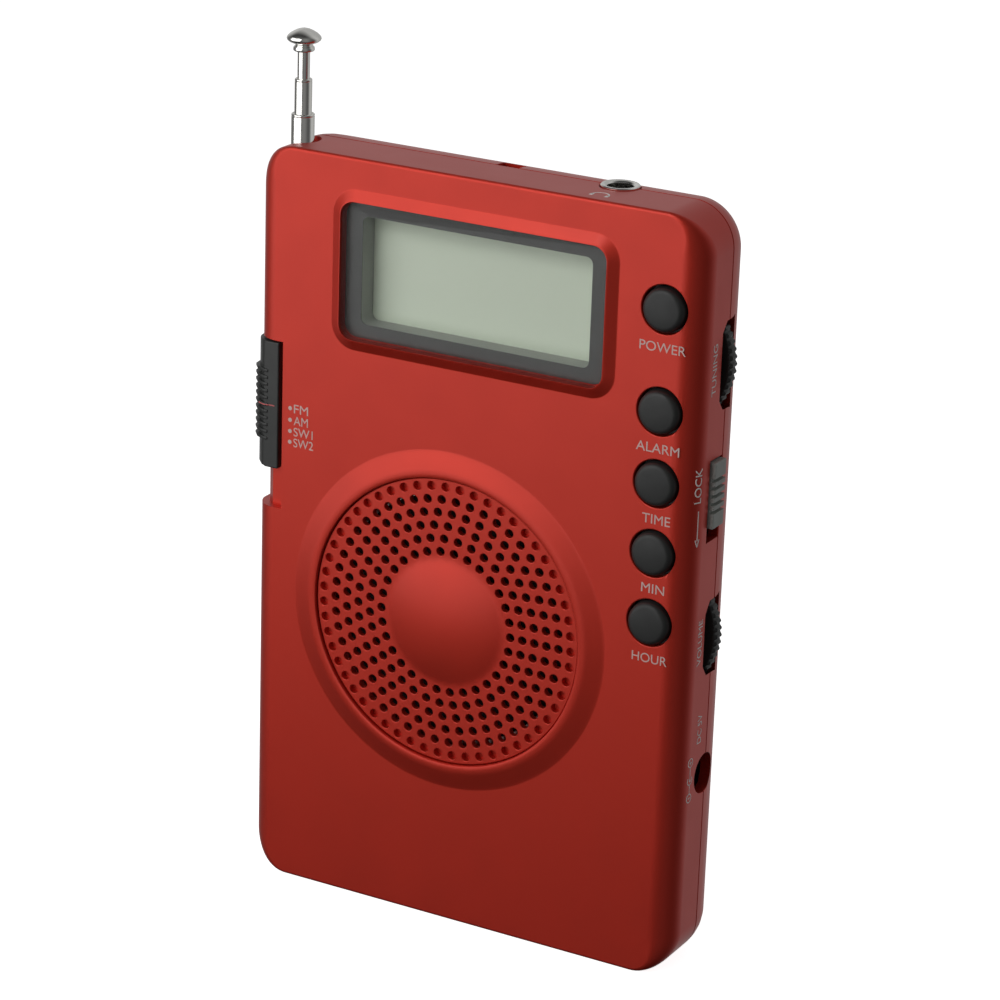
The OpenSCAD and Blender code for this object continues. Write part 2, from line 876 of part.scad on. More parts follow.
module antenna_inner_tube() {
    color("#d7d8d9") antenna_stage(
        antenna_r[2], antenna_bore_r[2], antenna_tops[1] - antenna_inner_l, antenna_tops[1]);
}

module antenna_rod() {
    color("#d7d8d9") from_front() translate([antenna_x, antenna_depth, antenna_tops[2] - antenna_rod_l])
        cylinder(r = antenna_r[3], h = antenna_rod_l);
}

module antenna_cap() {
    color("#dcdddd") from_front() translate([antenna_x, antenna_depth, antenna_tops[2]]) {
        cylinder(r = 1.45, h = 1);
        translate([0, 0, 1]) cylinder(r1 = 1.7, r2 = 2.37, h = 0.8);
        translate([0, 0, 1.8]) cylinder(r1 = 2.37, r2 = 1.3, h = 1.4);
    }
}

module antenna_bracket() {
    low = antenna_socket_bottom + 0.6;
    color("#a9abad") from_front() difference() {
        union() {
            translate([antenna_x, antenna_depth, low]) cylinder(r = antenna_r[0] + 0.5, h = 4);
            block([antenna_x - 0.5, antenna_depth, low], [antenna_x + 0.5, board_front, low + 4]);
        }
        translate([antenna_x, antenna_depth, low - 1]) cylinder(r = antenna_r[0], h = 6);
    }
}

// ---- Cells ----

// A cell whose nub points right when way is 1 and left when way is -1
module cell(z, way) {
    nub_l = 1;
    end = bay_half - contact_t - eps;
    from_front() translate([0, cell_depth, z]) rotate([0, way * 90, 0]) {
        color("#3d5a80") translate([0, 0, end - cell_l]) cylinder(r = cell_r, h = cell_l - nub_l);
        color("#c9cbcc") translate([0, 0, end - nub_l - eps]) cylinder(r = 1.9, h = nub_l + eps);
    }
}

module upper_cell() { cell(cell_heights[1], -1); }
module lower_cell() { cell(cell_heights[0], 1); }

module battery_springs() {
    turns = 4;
    steps = 14;
    base_radius = 3.6;
    tip_radius = 2.4;
    wire_r = 0.28;
    start = bay_half - contact_t - wire_r;
    run = 4.7;
    color("#c9cbcc") from_front() for (i = [0, 1]) {
        way = i == 0 ? -1 : 1;
        translate([0, cell_depth, cell_heights[i]])
            tube_along([
                for (k = [0:turns * steps])
                    let (
                        t = k / (turns * steps),
                        r = base_radius + (tip_radius - base_radius) * t,
                        a = 360 * k / steps
                    )
                    [way * (start - run * t), r * cos(a), r * sin(a)]
            ], wire_r, 6);
    }
}

module battery_contacts() {
    color("#c9cbcc") from_front() for (side = [-1, 1]) {
        low = side > 0 ? bay_half - contact_t : -bay_half;
        for (z = cell_heights)
            block([low, cell_depth - 4, z - 4.4], [low + contact_t, cell_depth + 4, z + 4.4]);
        block([low, cell_depth - 0.8, cell_heights[0]], [low + contact_t, cell_depth + 0.8, tail_top]);
    }
}

// ---- Fasteners ----

module case_screws() {
    color("#9da0a3") from_front()
        for (place = case_screws_at)
            screw_from_back(place, case_head_depth, case_head_r - gap, case_screw_r, 8.8);
}

module board_screws() {
    color("#9da0a3") from_front()
        for (place = board_screws_at)
            screw_from_back(place, board_back, screw_head_r, post_hole_r, 6);
}

module key_board_screws() {
    color("#9da0a3") from_front()
        for (place = key_screws_at)
            screw_from_back(place, key_board_back, screw_head_r, post_hole_r, 2.8);
}

// ---- Components on the main board ----

module along_ferrite(x, radius, length) {
    translate([x, ferrite_at[0], ferrite_at[1]]) rotate([0, 90, 0]) cylinder(r = radius, h = length);
}

module ferrite_rod() {
    color("#3c3a38") from_front() along_ferrite(-20, ferrite_r, 40);
}

module ferrite_coil() {
    color("#b0642e") from_front() difference() {
        along_ferrite(-8, ferrite_r + 0.7, 10);
        along_ferrite(-9, ferrite_r + 0.03, 12);
    }
}

module ferrite_clips() {
    color("#e6e4d8") from_front() for (x = [-17.5, 8.5]) difference() {
        block([x, board_back, ferrite_at[1] - 2], [x + 2.5, ferrite_at[0] - 0.4, ferrite_at[1] + 2]);
        along_ferrite(x - 1, ferrite_r + 0.03, 5);
    }
}

module screened_coils() {
    color("#c4c6c8") from_front() for (i = [0:3])
        block([-22.5 + 8.5 * i, board_back, 76.5], [-15.5 + 8.5 * i, board_back + 5.5, 83.5]);
}

module integrated_circuits() {
    color("#26282a") from_front() {
        block([-17, board_back, 66.5], [-7, board_back + 1.8, 73]);
        block([0, board_back, 55], [8, board_back + 1.8, 61]);
        block([-11, board_front - 1.6, 85], [-1, board_front, 95]);
    }
}

module electrolytic_capacitors() {
    color("#2d3f66") from_front() for (place = [[-19, 60], [-11, 45.5], [3, 42], [12, 51]])
        bar(place, 3.1, board_back, 6);
}

module resistors() {
    color("#c8a26a") from_front() for (i = [0:7])
        translate([-19 + 4 * i, board_back + 0.9, 32.5]) cylinder(r = 0.9, h = 5);
}

module crystal() {
    color("#c9cbcc") from_front() block([-12.5, board_back, 51.8], [-3.5, board_back + 3.4, 55.2]);
}

// ---- Leads ----

module lead(a, b, c, d) {
    tube_along([for (i = [0:lead_steps]) bezier(a, b, c, d, i / lead_steps)], lead_r);
}

module speaker_leads() {
    start = inner_front + 4.5;
    color("#c23a2e") from_front() for (side = [-1, 1]) {
        x = speaker_x + 1.5 * side;
        lead([x, start, speaker_z + 9.3], [x, start + 3, speaker_z + 9.4],
             [x, start + 0.4, speaker_z + 19], [x, board_front - pad_t, speaker_z + 19]);
    }
}

module battery_leads() {
    color("#c23a2e") from_front() {
        lead([25.2, 12.3, tail_top], [25.2, 12.6, 29.5],
             [17.5, 15.5, 34], [17.5, board_back + pad_t, 34]);
        lead([-25.2, 12.3, tail_top], [-25.2, 12.4, 28.5],
             [-28.2, 14.5, 31.5], [-28.2, board_back + pad_t, 31.5]);
    }
}

front_case();
back_case();
battery_door();
speaker_grille();
speaker_frame();
speaker_cone();
speaker_magnet();
display_lens();
display_mask();
display_well();
display_panel();
display_connector();
main_board();
key_board();
key_switches();
power_button();
alarm_button();
time_button();
minute_button();
hour_button();
band_slider();
band_switch();
lock_slider();
lock_switch();
tuning_wheel();
tuning_shaft();
tuning_screw();
tuning_capacitor();
volume_wheel();
volume_shaft();
volume_screw();
volume_control();
headphone_socket();
power_inlet();
inlet_pin();
antenna_socket();
antenna_bracket();
antenna_outer_tube();
antenna_inner_tube();
antenna_rod();
antenna_cap();
upper_cell();
lower_cell();
battery_springs();
battery_contacts();
case_screws();
board_screws();
key_board_screws();
ferrite_rod();
ferrite_coil();
ferrite_clips();
screened_coils();
integrated_circuits();
electrolytic_capacitors();
resistors();
crystal();
speaker_leads();
battery_leads();
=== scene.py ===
"""A transistor pocket radio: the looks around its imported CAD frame.

Lengths are in millimetres until a mesh is made, and depths run back from the flat front face.
"""

import json
import math

import bmesh
import bpy
from mathutils import Matrix, Vector
from mathutils.geometry import delaunay_2d_cdt


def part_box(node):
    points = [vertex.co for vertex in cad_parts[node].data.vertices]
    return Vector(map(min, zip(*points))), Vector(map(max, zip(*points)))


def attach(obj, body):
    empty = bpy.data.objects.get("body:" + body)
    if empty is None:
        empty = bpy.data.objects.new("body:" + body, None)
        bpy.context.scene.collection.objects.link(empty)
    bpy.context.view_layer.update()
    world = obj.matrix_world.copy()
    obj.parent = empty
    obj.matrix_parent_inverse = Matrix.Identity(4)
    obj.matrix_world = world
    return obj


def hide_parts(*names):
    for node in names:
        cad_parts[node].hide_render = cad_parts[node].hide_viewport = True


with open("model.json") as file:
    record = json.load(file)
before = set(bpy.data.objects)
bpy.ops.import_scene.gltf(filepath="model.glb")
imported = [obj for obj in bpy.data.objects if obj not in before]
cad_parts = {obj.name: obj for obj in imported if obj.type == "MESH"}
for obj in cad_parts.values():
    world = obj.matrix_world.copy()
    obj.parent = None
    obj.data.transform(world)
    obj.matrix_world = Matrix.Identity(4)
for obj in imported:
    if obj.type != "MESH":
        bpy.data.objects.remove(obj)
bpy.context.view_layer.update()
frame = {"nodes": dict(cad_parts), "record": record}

MM = 0.001
TAU = 2 * math.pi

# ---- Places and sizes, in millimetres, from the frame ----


def node_box(node):
    low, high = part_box(node)
    return Vector(low) / MM, Vector(high) / MM


def node_centre(node):
    low, high = node_box(node)
    return (low + high) / 2


CASE_LOW, CASE_HIGH = node_box("front_case")
BACK_HIGH = node_box("back_case")[1]
RING_H = 0.8  # how far the speaker ring stands out from the front face
FRONT_Y = CASE_LOW.y + RING_H
HALF_W = CASE_HIGH.x
CASE_H = CASE_HIGH.z
SPLIT = 8.2  # depth of the joint between the two cases
CASE_D = BACK_HIGH.y - FRONT_Y
WALL = 1.5
CORNER_R = 6.0
SIDE_ROLL = 3.5  # radius of the front edge along the sides
END_ROLL = 0.5  # radius of the front edge along the top and the base
SEAM = 0.13  # the edge broken on each side of the joint
OVERLAP = 0.02  # how far united solids run into each other
SPEAKER = node_centre("speaker_grille")
GRILLE_R = (node_box("speaker_grille")[1].x - node_box("speaker_grille")[0].x) / 2
LENS_LOW, LENS_HIGH = node_box("display_lens")
LENS = (LENS_LOW + LENS_HIGH) / 2
WINDOW_W, WINDOW_H = 34.9, 15.1
KEYS = ["power", "alarm", "time", "minute", "hour"]
KEY_R = (node_box("power_button")[1].x - node_box("power_button")[0].x) / 2
WHEELS = [  # node, body, shaft radius, room round it in its slot, front of the slot
    ("tuning_wheel", "tuning", 3.0, 0.83, 6.3),
    ("volume_wheel", "volume", 2.0, 0.45, 5.7),
]
WHEEL_R = (node_box("tuning_wheel")[1].z - node_box("tuning_wheel")[0].z) / 2


def depth_of(y):
    return y - FRONT_Y


def node_depths(node):
    """How deep a node's front and its back lie."""
    low, high = node_box(node)
    return depth_of(low.y), depth_of(high.y)


def place_of(node):
    """The centre of a node, as (x, depth, z)."""
    centre = node_centre(node)
    return centre.x, depth_of(centre.y), centre.z


# ---- Mesh helpers ----


def link(obj):
    bpy.context.scene.collection.objects.link(obj)
    return obj


def new_object(name, verts, faces):
    """A mesh object from vertices [x, depth, z] in millimetres."""
    mesh = bpy.data.meshes.new(name)
    mesh.from_pydata([(x * MM, (d + FRONT_Y) * MM, z * MM) for x, d, z in verts], [], faces)
    shape = bmesh.new()
    shape.from_mesh(mesh)
    bmesh.ops.remove_doubles(shape, verts=shape.verts, dist=1e-7)
    bmesh.ops.recalc_face_normals(shape, faces=shape.faces)
    shape.to_mesh(mesh)
    shape.free()
    return link(bpy.data.objects.new(name, mesh))


def quads_between(rings, count, base=0):
    """Faces that join a number of closed rings of count points each, numbered from base."""
    faces = []
    for r in range(rings - 1):
        a, b = base + r * count, base + (r + 1) * count
        for i in range(count):
            j = (i + 1) % count
            faces.append((a + i, a + j, b + j, b + i))
    return faces


def loft(rings, capped=True, name="solid"):
    """Joins closed rings of equal length with quads, and fills both ends if capped."""
    count = len(rings[0])
    verts = [point for ring in rings for point in ring]
    faces = quads_between(len(rings), count)
    if capped:
        last = (len(rings) - 1) * count
        faces.append(tuple(range(count)))
        faces.append(tuple(last + i for i in range(count)))
    return new_object(name, verts, faces)


def rounded_rectangle(low_x, high_x, low_z, high_z, radius, steps, along=(1, 1)):
    """Points [x, z, normal_x, normal_z], from the right side up and round.

    The straight top and base are split into along[0] pieces and the sides into along[1].
    """
    corners = [
        (high_x, high_z, -1, -1, 0),
        (low_x, high_z, 1, -1, 90),
        (low_x, low_z, 1, 1, 180),
        (high_x, low_z, -1, 1, 270),
    ]
    arcs = []
    for x, z, in_x, in_z, start in corners:
        arc = []
        for i in range(steps + 1):
            a = math.radians(start + 90 * i / steps)
            n_x, n_z = math.cos(a), math.sin(a)
            arc.append((x + in_x * radius + radius * n_x, z + in_z * radius + radius * n_z, n_x, n_z))
        arcs.append(arc)
    points = []
    for index, arc in enumerate(arcs):
        points += arc
        start, end = Vector(arc[-1]), Vector(arcs[(index + 1) % 4][0])
        pieces = along[index % 2]
        points += [tuple(start.lerp(end, i / pieces)) for i in range(1, pieces)]
    return points


def ring_at(outline, depth, inset=0.0):
    """Lays an outline at a depth, pulled in along its normals."""
    return [(x - inset * nx, depth, z - inset * nz) for x, z, nx, nz in outline]


def box_outline(centre, width, height, radius):
    return rounded_rectangle(
        centre.x - width / 2, centre.x + width / 2, centre.z - height / 2, centre.z + height / 2,
        radius, 10)


def circle_points(x, z, radius, count):
    turns = [TAU * i / count for i in range(count)]
    return [(x + radius * math.cos(a), z + radius * math.sin(a)) for a in turns]


def lathe(profile, place, axis, steps, closed=True, name="solid"):
    """Turns a profile of (radius, along) about an axis through place = (x, depth, z).

    A closed profile comes back to its first point, and an open one starts and ends on the axis.
    """
    x, d, z = place
    rings = []
    for radius, along in profile:
        if axis == "Y":
            ring = [(u, d + along, v) for u, v in circle_points(x, z, radius, steps)]
        elif axis == "Z":
            ring = [(u, v, z + along) for u, v in circle_points(x, d, radius, steps)]
        else:
            ring = [(x + along, u, v) for u, v in circle_points(d, z, radius, steps)]
        rings.append(ring)
    if closed:
        rings.append(rings[0])
    return loft(rings, not closed, name)


def prism(outline, start, end, name="solid"):
    """Extrudes points (x, depth) upwards from z = start to z = end."""
    return loft([[(x, d, z) for x, d in outline] for z in (start, end)], name=name)


def slab(low, high, name="solid"):
    """A box from its lowest to its highest corner, each (x, depth, z)."""
    corners = [(low[0], low[1]), (high[0], low[1]), (high[0], high[1]), (low[0], high[1])]
    return prism(corners, low[2], high[2], name)


def apply_modifiers(obj):
    graph = bpy.context.evaluated_depsgraph_get()
    mesh = bpy.data.meshes.new_from_object(obj.evaluated_get(graph))
    obj.modifiers.clear()
    old = obj.data
    obj.data = mesh
    bpy.data.meshes.remove(old)


def combine(obj, others, operation):
    """Applies exact booleans one after another and deletes the other solids."""
    for other in others:
        mod = obj.modifiers.new("combine", "BOOLEAN")
        mod.operation = operation
        mod.solver = "EXACT"
        mod.object = other
        apply_modifiers(obj)
        bpy.data.objects.remove(other)
    return obj


def cut(obj, cutters):
    return combine(obj, cutters, "DIFFERENCE")


def unite(obj, solids):
    return combine(obj, solids, "UNION")


def soften(obj, bevel=0.0, angle=35, weighted=True):
    """Rounds the sharp edges by bevel millimetres, then shades smooth up to that angle."""
    if bevel:
        mod = obj.modifiers.new("edges", "BEVEL")
        mod.width = bevel * MM
        mod.segments = 3
        mod.limit_method = "ANGLE"
        mod.angle_limit = math.radians(angle)
        mod.miter_outer = "MITER_ARC"
        apply_modifiers(obj)
    obj.data.polygons.foreach_set("use_smooth", [True] * len(obj.data.polygons))
    obj.data.set_sharp_from_angle(angle=math.radians(angle))
    if weighted:
        mod = obj.modifiers.new("normals", "WEIGHTED_NORMAL")
        mod.keep_sharp = True
        apply_modifiers(obj)
    return obj


def piece(obj, body, material, replaces=()):
    """Gives a mesh its material, its body and the nodes that it stands for."""
    obj.data.materials.clear()
    obj.data.materials.append(material)
    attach(obj, body)
    if replaces:
        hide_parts(*replaces)
    return obj


# ---- Shared curves and cutters ----

QUARTER = math.pi / 2


def eased(t, soft):
    """Rises from 0 to 1 at a steady slope with soft ends."""
    slope = 1 / (1 - soft)
    if t < soft:
        return slope * t * t / (2 * soft)
    if t > 1 - soft:
        return 1 - slope * (1 - t) ** 2 / (2 * soft)
    return slope * (t - soft / 2)


def arc_points(centre_r, centre_a, radius, start, end, steps):
    """Profile points on an arc, with angles in degrees."""
    points = []
    for i in range(steps + 1):
        a = math.radians(start + (end - start) * i / steps)
        points.append((centre_r + radius * math.cos(a), centre_a + radius * math.sin(a)))
    return points


def drill(place, radius, start, end, axis="Y", steps=64):
    """A cutter: a plain bar along an axis."""
    profile = [(0.0, start), (radius, start), (radius, end), (0.0, end)]
    return lathe(profile, place, axis, steps, False)


def eased_drill(place, radius, flare, surface, end, axis="Y", outward=-1):
    """A cutter that leaves a rounded rim of size flare where it enters at a surface."""
    mouth = radius + flare * 1.3
    outside = surface + outward * 3
    profile = [(0.0, outside), (mouth, outside), (mouth, surface + outward * 0.03)]
    steps = 5
    for i in range(1, steps):
        a = QUARTER * i / steps
        profile.append((radius + flare * (1 - math.sin(a)), surface - outward * flare * (1 - math.cos(a))))
    profile += [(radius, surface - outward * flare), (radius, end), (0.0, end)]
    return lathe(profile, place, axis, 64, False)


def flat_drill(outline, start, end):
    """A cutter through the front face, from an outline."""
    return loft([ring_at(outline, start), ring_at(outline, end)])


# ---- Front case ----

ROLL_STEPS = 10
CORNER_STEPS = 20
SHELL_PIECES = (14, 24)  # pieces of the long straight edges, across and up
WHEEL_X = node_centre("tuning_wheel").x
WHEEL_SLOT_BACK = 10.1
SLOT_NOSE = 0.75  # how far the front corner of a wheel slot is cut off, and how deep
SLOT_NOSE_DEPTH = 1.2
JACK_X, JACK_DEPTH, _ = place_of("headphone_socket")
JACK_HOLE_R = 2.75
INLET_DEPTH, INLET_Z = place_of("inlet_pin")[1:]
INLET_HOLE_R = 2.85
HOLE_EASE = 0.25
KEY_GAP = 0.25
KEY_EASE = 0.22
ANTENNA_AT = place_of("antenna_cap")[:2]
ANTENNA_HOLE_R = 1.8
ANTENNA_SEAT_R = 2.6
ANTENNA_SEAT_DEEP = 0.9
SEAT_DEPTH = node_depths("display_mask")[1]
BAND_LOW, BAND_HIGH = node_box("band_slider")
BAND_RECESS_LOW = BAND_LOW.z - 5.69  # the slider's travel and its play
BAND_RECESS_HIGH = BAND_HIGH.z + 0.3
BAND_TONGUE_SLOT = (64.6, 73.3)
LOCK_FLANGE = 0.9
LOCK_TRAVEL = 2.0
LOCK_LOW, LOCK_HIGH = node_box("lock_slider")
LOCK_SLOT = (LOCK_LOW.z + LOCK_FLANGE - LOCK_TRAVEL, LOCK_HIGH.z - LOCK_FLANGE + 0.3)
LOCK_SLOT_FRONT = 4.6
SCREWS_AT = [(-23.8, 102.4), (26.5, 102.4), (-30.2, 14.0), (30.2, 14.0)]
POST_R = 1.9
POSTS_AT = [(-24.5, 29.5), (-24.0, 89.0), (16.5, 67.5), (15.5, 29.0)]
POST_END = 9.8
KEY_POSTS_AT = [(24.2, 88.5), (24.2, 56.3)]
KEY_POST_END = 4.6
FIELD_H = 0.8  # height and width of the slope round the display
FIELD_OUT = 1.9
RING_FOOT = 24.9  # outer radii of the speaker ring, at its foot and its crest
RING_CREST = 21.3


def roll(normal_x):
    """The front edge is rolled along the sides and nearly crisp along the top and the base."""
    return END_ROLL + (SIDE_ROLL - END_ROLL) * normal_x * normal_x


def rolled_ring(outline, angle, inner):
    """The outer or inner skin where the rolled front edge has turned by an angle."""
    ring = []
    for x, z, nx, nz in outline:
        radius = roll(nx)
        centre = max(radius, WALL + OVERLAP) if inner else radius
        radius = centre - WALL if inner else radius
        inset = centre - radius * math.cos(angle)
        ring.append((x - inset * nx, centre - radius * math.sin(angle), z - inset * nz))
    return ring


def case_outline():
    return rounded_rectangle(-HALF_W, HALF_W, 0, CASE_H, CORNER_R, CORNER_STEPS, SHELL_PIECES)


def front_shell():
    """The outer skin from the front face to the joint, and the inner skin from there on."""
    outline = case_outline()
    angles = [QUARTER * i / ROLL_STEPS for i in range(ROLL_STEPS + 1)]
    rings = [rolled_ring(outline, a, False) for a in reversed(angles)]
    rings.append(ring_at(outline, SPLIT - SEAM))
    rings.append(ring_at(outline, SPLIT, SEAM))
    rings.append(ring_at(outline, SPLIT, WALL))
    rings += [rolled_ring(outline, a, True) for a in angles]
    return loft(rings, name="front_case_skin")


def lens_outline(offset):
    """The outline of the lens, grown by an offset."""
    width = LENS_HIGH.x - LENS_LOW.x + 2 * offset
    height = LENS_HIGH.z - LENS_LOW.z + 2 * offset
    return box_outline(LENS, width, height, 2.0 + offset)


def window_outline(offset):
    """The outline of the clear window inside the dark print, grown by an offset."""
    return box_outline(LENS, WINDOW_W + 2 * offset, WINDOW_H + 2 * offset, 1.0 + max(offset, 0) * 0.4)


def display_field():
    """The raised field that slopes down all round the lens."""
    steps = 12
    root = 0.9
    rings = [ring_at(lens_outline(FIELD_OUT), root)]
    for i in range(steps + 1):
        t = i / steps
        depth = OVERLAP - (FIELD_H + OVERLAP) * eased(t, 0.18)
        rings.append(ring_at(lens_outline(FIELD_OUT * (1 - t)), depth))
    return loft(rings)


def speaker_ring():
    """The raised ring round the grille, with the ledge that the grille sits on."""
    seat = node_depths("speaker_grille")[1] + OVERLAP
    ledge_r = GRILLE_R - 1.9
    bore_r = GRILLE_R + 0.1
    steps = 14
    profile = [(ledge_r, seat), (ledge_r, WALL - OVERLAP), (RING_FOOT, WALL - OVERLAP)]
    for i in range(steps + 1):
        t = i / steps
        depth = OVERLAP - (RING_H + OVERLAP) * eased(t, 0.22)
        profile.append((RING_FOOT + (RING_CREST - RING_FOOT) * t, depth))
    profile += [(GRILLE_R + 0.42, -RING_H), (GRILLE_R + 0.2, -RING_H + 0.06)]
    profile += [(bore_r, -RING_H + 0.2), (bore_r, seat)]
    return lathe(profile, (SPEAKER.x, 0, SPEAKER.z), "Y", 160)


def band_backing():
    """The wall behind the recess that the waveband slider runs in."""
    back = SPLIT - OVERLAP
    outline = [(-28.3, 1.3), (-28.3, 2.4), (-31.0, 2.4), (-31.85, 3.2), (-31.85, back)]
    outline += [(-33.0, back), (-33.0, 2.6), (-31.6, 1.3)]
    return prism(outline, BAND_RECESS_LOW - 1, BAND_RECESS_HIGH + 1)


def post(x, z, end):
    """A round post that grows back from the front wall."""
    return drill((x, 0, z), POST_R, WALL - 0.2, end, steps=24)


def shared_openings():
    """Cutters for what the two cases share: wheel slots, headphone hole and inlet hole."""
    cutters = []
    for node, _, _, room, front in WHEELS:
        radius = WHEEL_R + room
        profile = [(0.0, front), (radius - SLOT_NOSE, front), (radius, front + SLOT_NOSE_DEPTH)]
        profile += [(radius, WHEEL_SLOT_BACK), (0.0, WHEEL_SLOT_BACK)]
        place = (WHEEL_X, 0, node_centre(node).z)
        cutters.append(lathe(profile, place, "Y", 96, False))
    jack = (JACK_X, JACK_DEPTH, CASE_H)
    cutters.append(eased_drill(jack, JACK_HOLE_R, HOLE_EASE, 0, -3, "Z", 1))
    inlet = (HALF_W, INLET_DEPTH, INLET_Z)
    cutters.append(eased_drill(inlet, INLET_HOLE_R, HOLE_EASE / 2, 0, -4, "X", 1))
    return cutters


def front_openings():
    """Cutters for the display, the keys, the two sliders and the antenna."""
    cutters = [flat_drill(lens_outline(0.1), -2, SEAT_DEPTH), flat_drill(window_outline(0.9), -1, 6)]
    for key in KEYS:
        centre = node_centre(key + "_button")
        cutters.append(eased_drill((centre.x, 0, centre.z), KEY_R + KEY_GAP, KEY_EASE, 0, 6))
    cutters.append(slab((31, LOCK_SLOT_FRONT, LOCK_SLOT[0]), (36, SPLIT + 1, LOCK_SLOT[1])))
    recess = [(-29.3, -2), (-29.3, 1.3), (-31.5, 1.3), (-32.75, 2.55), (-32.75, SPLIT + 0.5)]
    recess += [(-36, SPLIT + 0.5), (-36, -2)]
    cutters.append(prism(recess, BAND_RECESS_LOW, BAND_RECESS_HIGH))
    cutters.append(slab((-34, 7.1, BAND_TONGUE_SLOT[0]), (-31, SPLIT + 1, BAND_TONGUE_SLOT[1])))
    socket = (*ANTENNA_AT, CASE_H)
    cutters.append(drill(socket, ANTENNA_HOLE_R, -4, 3, "Z"))
    cutters.append(drill(socket, ANTENNA_SEAT_R, -ANTENNA_SEAT_DEEP, 3, "Z"))
    return cutters


def build_front_case():
    """The front shell with its raised field, speaker ring and posts, and all its openings."""
    case = front_shell()
    cut(case, [drill((SPEAKER.x, 0, SPEAKER.z), GRILLE_R + 0.6, -3, 8, steps=160)])
    unite(case, [display_field(), speaker_ring(), band_backing()])
    for places, end in ((SCREWS_AT, SPLIT - OVERLAP), (POSTS_AT, POST_END), (KEY_POSTS_AT, KEY_POST_END)):
        unite(case, [post(x, z, end) for x, z in places])
    return soften(cut(case, front_openings() + shared_openings()))


# ---- Back case and battery door ----

BACK_RUN = 13.4  # how far the back curves in from the sides and from the top
BACK_RUN_TOP = 10.0
BASE_R = 3.5
BACK_STEPS = 14
BOSS_R = 2.9
COUNTERBORE_R = 1.9
SCREW_HOLE_R = 1.1
SCREW_HEAD_DEPTH = 11.5
DOOR_LOW, DOOR_HIGH = node_box("battery_door")
DOOR_DEPTH = depth_of(DOOR_LOW.y)
BAY_HALF = 25.35  # the bay for the two cells
BAY_PLATE = 0.9
BAY_FRONT = 5.4
BAY_TOP = 23.2
BAY_BACK = 16.9
BAY_END_BACK = 17.55
LEAD_SLOTS = (-25.4, 24.95)
LEAD_SLOT_W = 0.45
MARK_DEPTH = 0.4


def back_ring(angle, inset):
    """The outline of the back case where its curved sides have turned by an angle."""
    rise = CASE_D - SPLIT - inset
    depth = SPLIT + rise * math.sin(angle)
    turned = 1 - math.cos(angle)
    half = HALF_W - inset - (BACK_RUN - inset) * turned
    top = CASE_H - inset - (BACK_RUN_TOP - inset) * turned
    base_r = BASE_R - inset
    past = max(depth - (CASE_D - BASE_R), 0.0)
    bottom = inset + base_r - math.sqrt(max(base_r * base_r - past * past, 0.0))
    corner = CORNER_R - inset + 2.5 * turned
    outline = rounded_rectangle(-half, half, bottom, top, corner, CORNER_STEPS, SHELL_PIECES)
    return [(x, depth, z) for x, z, _, _ in outline]


def back_volume(inset, steps):
    """The whole back as one solid, pulled in by an inset."""
    return loft([back_ring(QUARTER * i / steps, inset) for i in range(steps + 1)])


def back_shell(name):
    """The outer skin from the back to the joint, and the inner skin from there on."""
    angles = [QUARTER * i / BACK_STEPS for i in range(BACK_STEPS + 1)]
    outline = case_outline()
    rings = [back_ring(a, 0) for a in reversed(angles[1:])]
    rings.append(ring_at(outline, SPLIT + SEAM))
    rings.append(ring_at(outline, SPLIT, SEAM))
    rings += [back_ring(a, WALL) for a in angles]
    return loft(rings, name=name)


def door_cutters(play):
    """Cutters for the opening that the battery door slides in."""
    half = DOOR_HIGH.x + play
    low = slab((-half, DOOR_DEPTH - 0.15, -1), (half, CASE_D + 1, BASE_R))
    high = slab((-half, BAY_BACK + 0.1, -1), (half, CASE_D + 1, DOOR_HIGH.z + play))
    return [low, high]


def cell_bay():
    """The floor, the upper wall and the two end walls of the bay for the cells."""
    wide = BAY_HALF + BAY_PLATE
    foot = WALL + 0.2
    top = BAY_TOP + 1
    walls = [slab((-wide, BAY_FRONT, foot), (wide, BAY_FRONT + 1, top))]
    walls.append(slab((-wide, BAY_FRONT, BAY_TOP), (wide, BAY_BACK, top)))
    for low in (-wide, BAY_HALF):
        walls.append(slab((low, BAY_FRONT, foot), (low + BAY_PLATE, BAY_END_BACK, top)))
    return walls


def build_back_case():
    """The curved back with its screw bosses, the cell bay and the door opening."""
    case = back_shell("back_case_skin")
    for x, z in SCREWS_AT:
        boss = drill((x, 0, z), BOSS_R, SPLIT + OVERLAP, CASE_D, steps=32)
        unite(case, [combine(boss, [back_volume(WALL / 2, 8)], "INTERSECT")])
    unite(case, cell_bay())
    cutters = []
    for x, z in SCREWS_AT:
        cutters.append(drill((x, 0, z), COUNTERBORE_R, SCREW_HEAD_DEPTH, CASE_D + 1, steps=48))
        cutters.append(drill((x, 0, z), SCREW_HOLE_R, SPLIT - 1, CASE_D, steps=32))
    cutters.append(slab((-1.4, SPLIT - 1, CASE_H - 1), (2, SPLIT + 2.3, CASE_H + 1)))  # pry notch
    for low in LEAD_SLOTS:
        cutters.append(slab((low, 11.4, 21), (low + LEAD_SLOT_W, 13.2, BAY_TOP + 2)))
    return soften(cut(case, cutters + door_cutters(0.2) + shared_openings()))


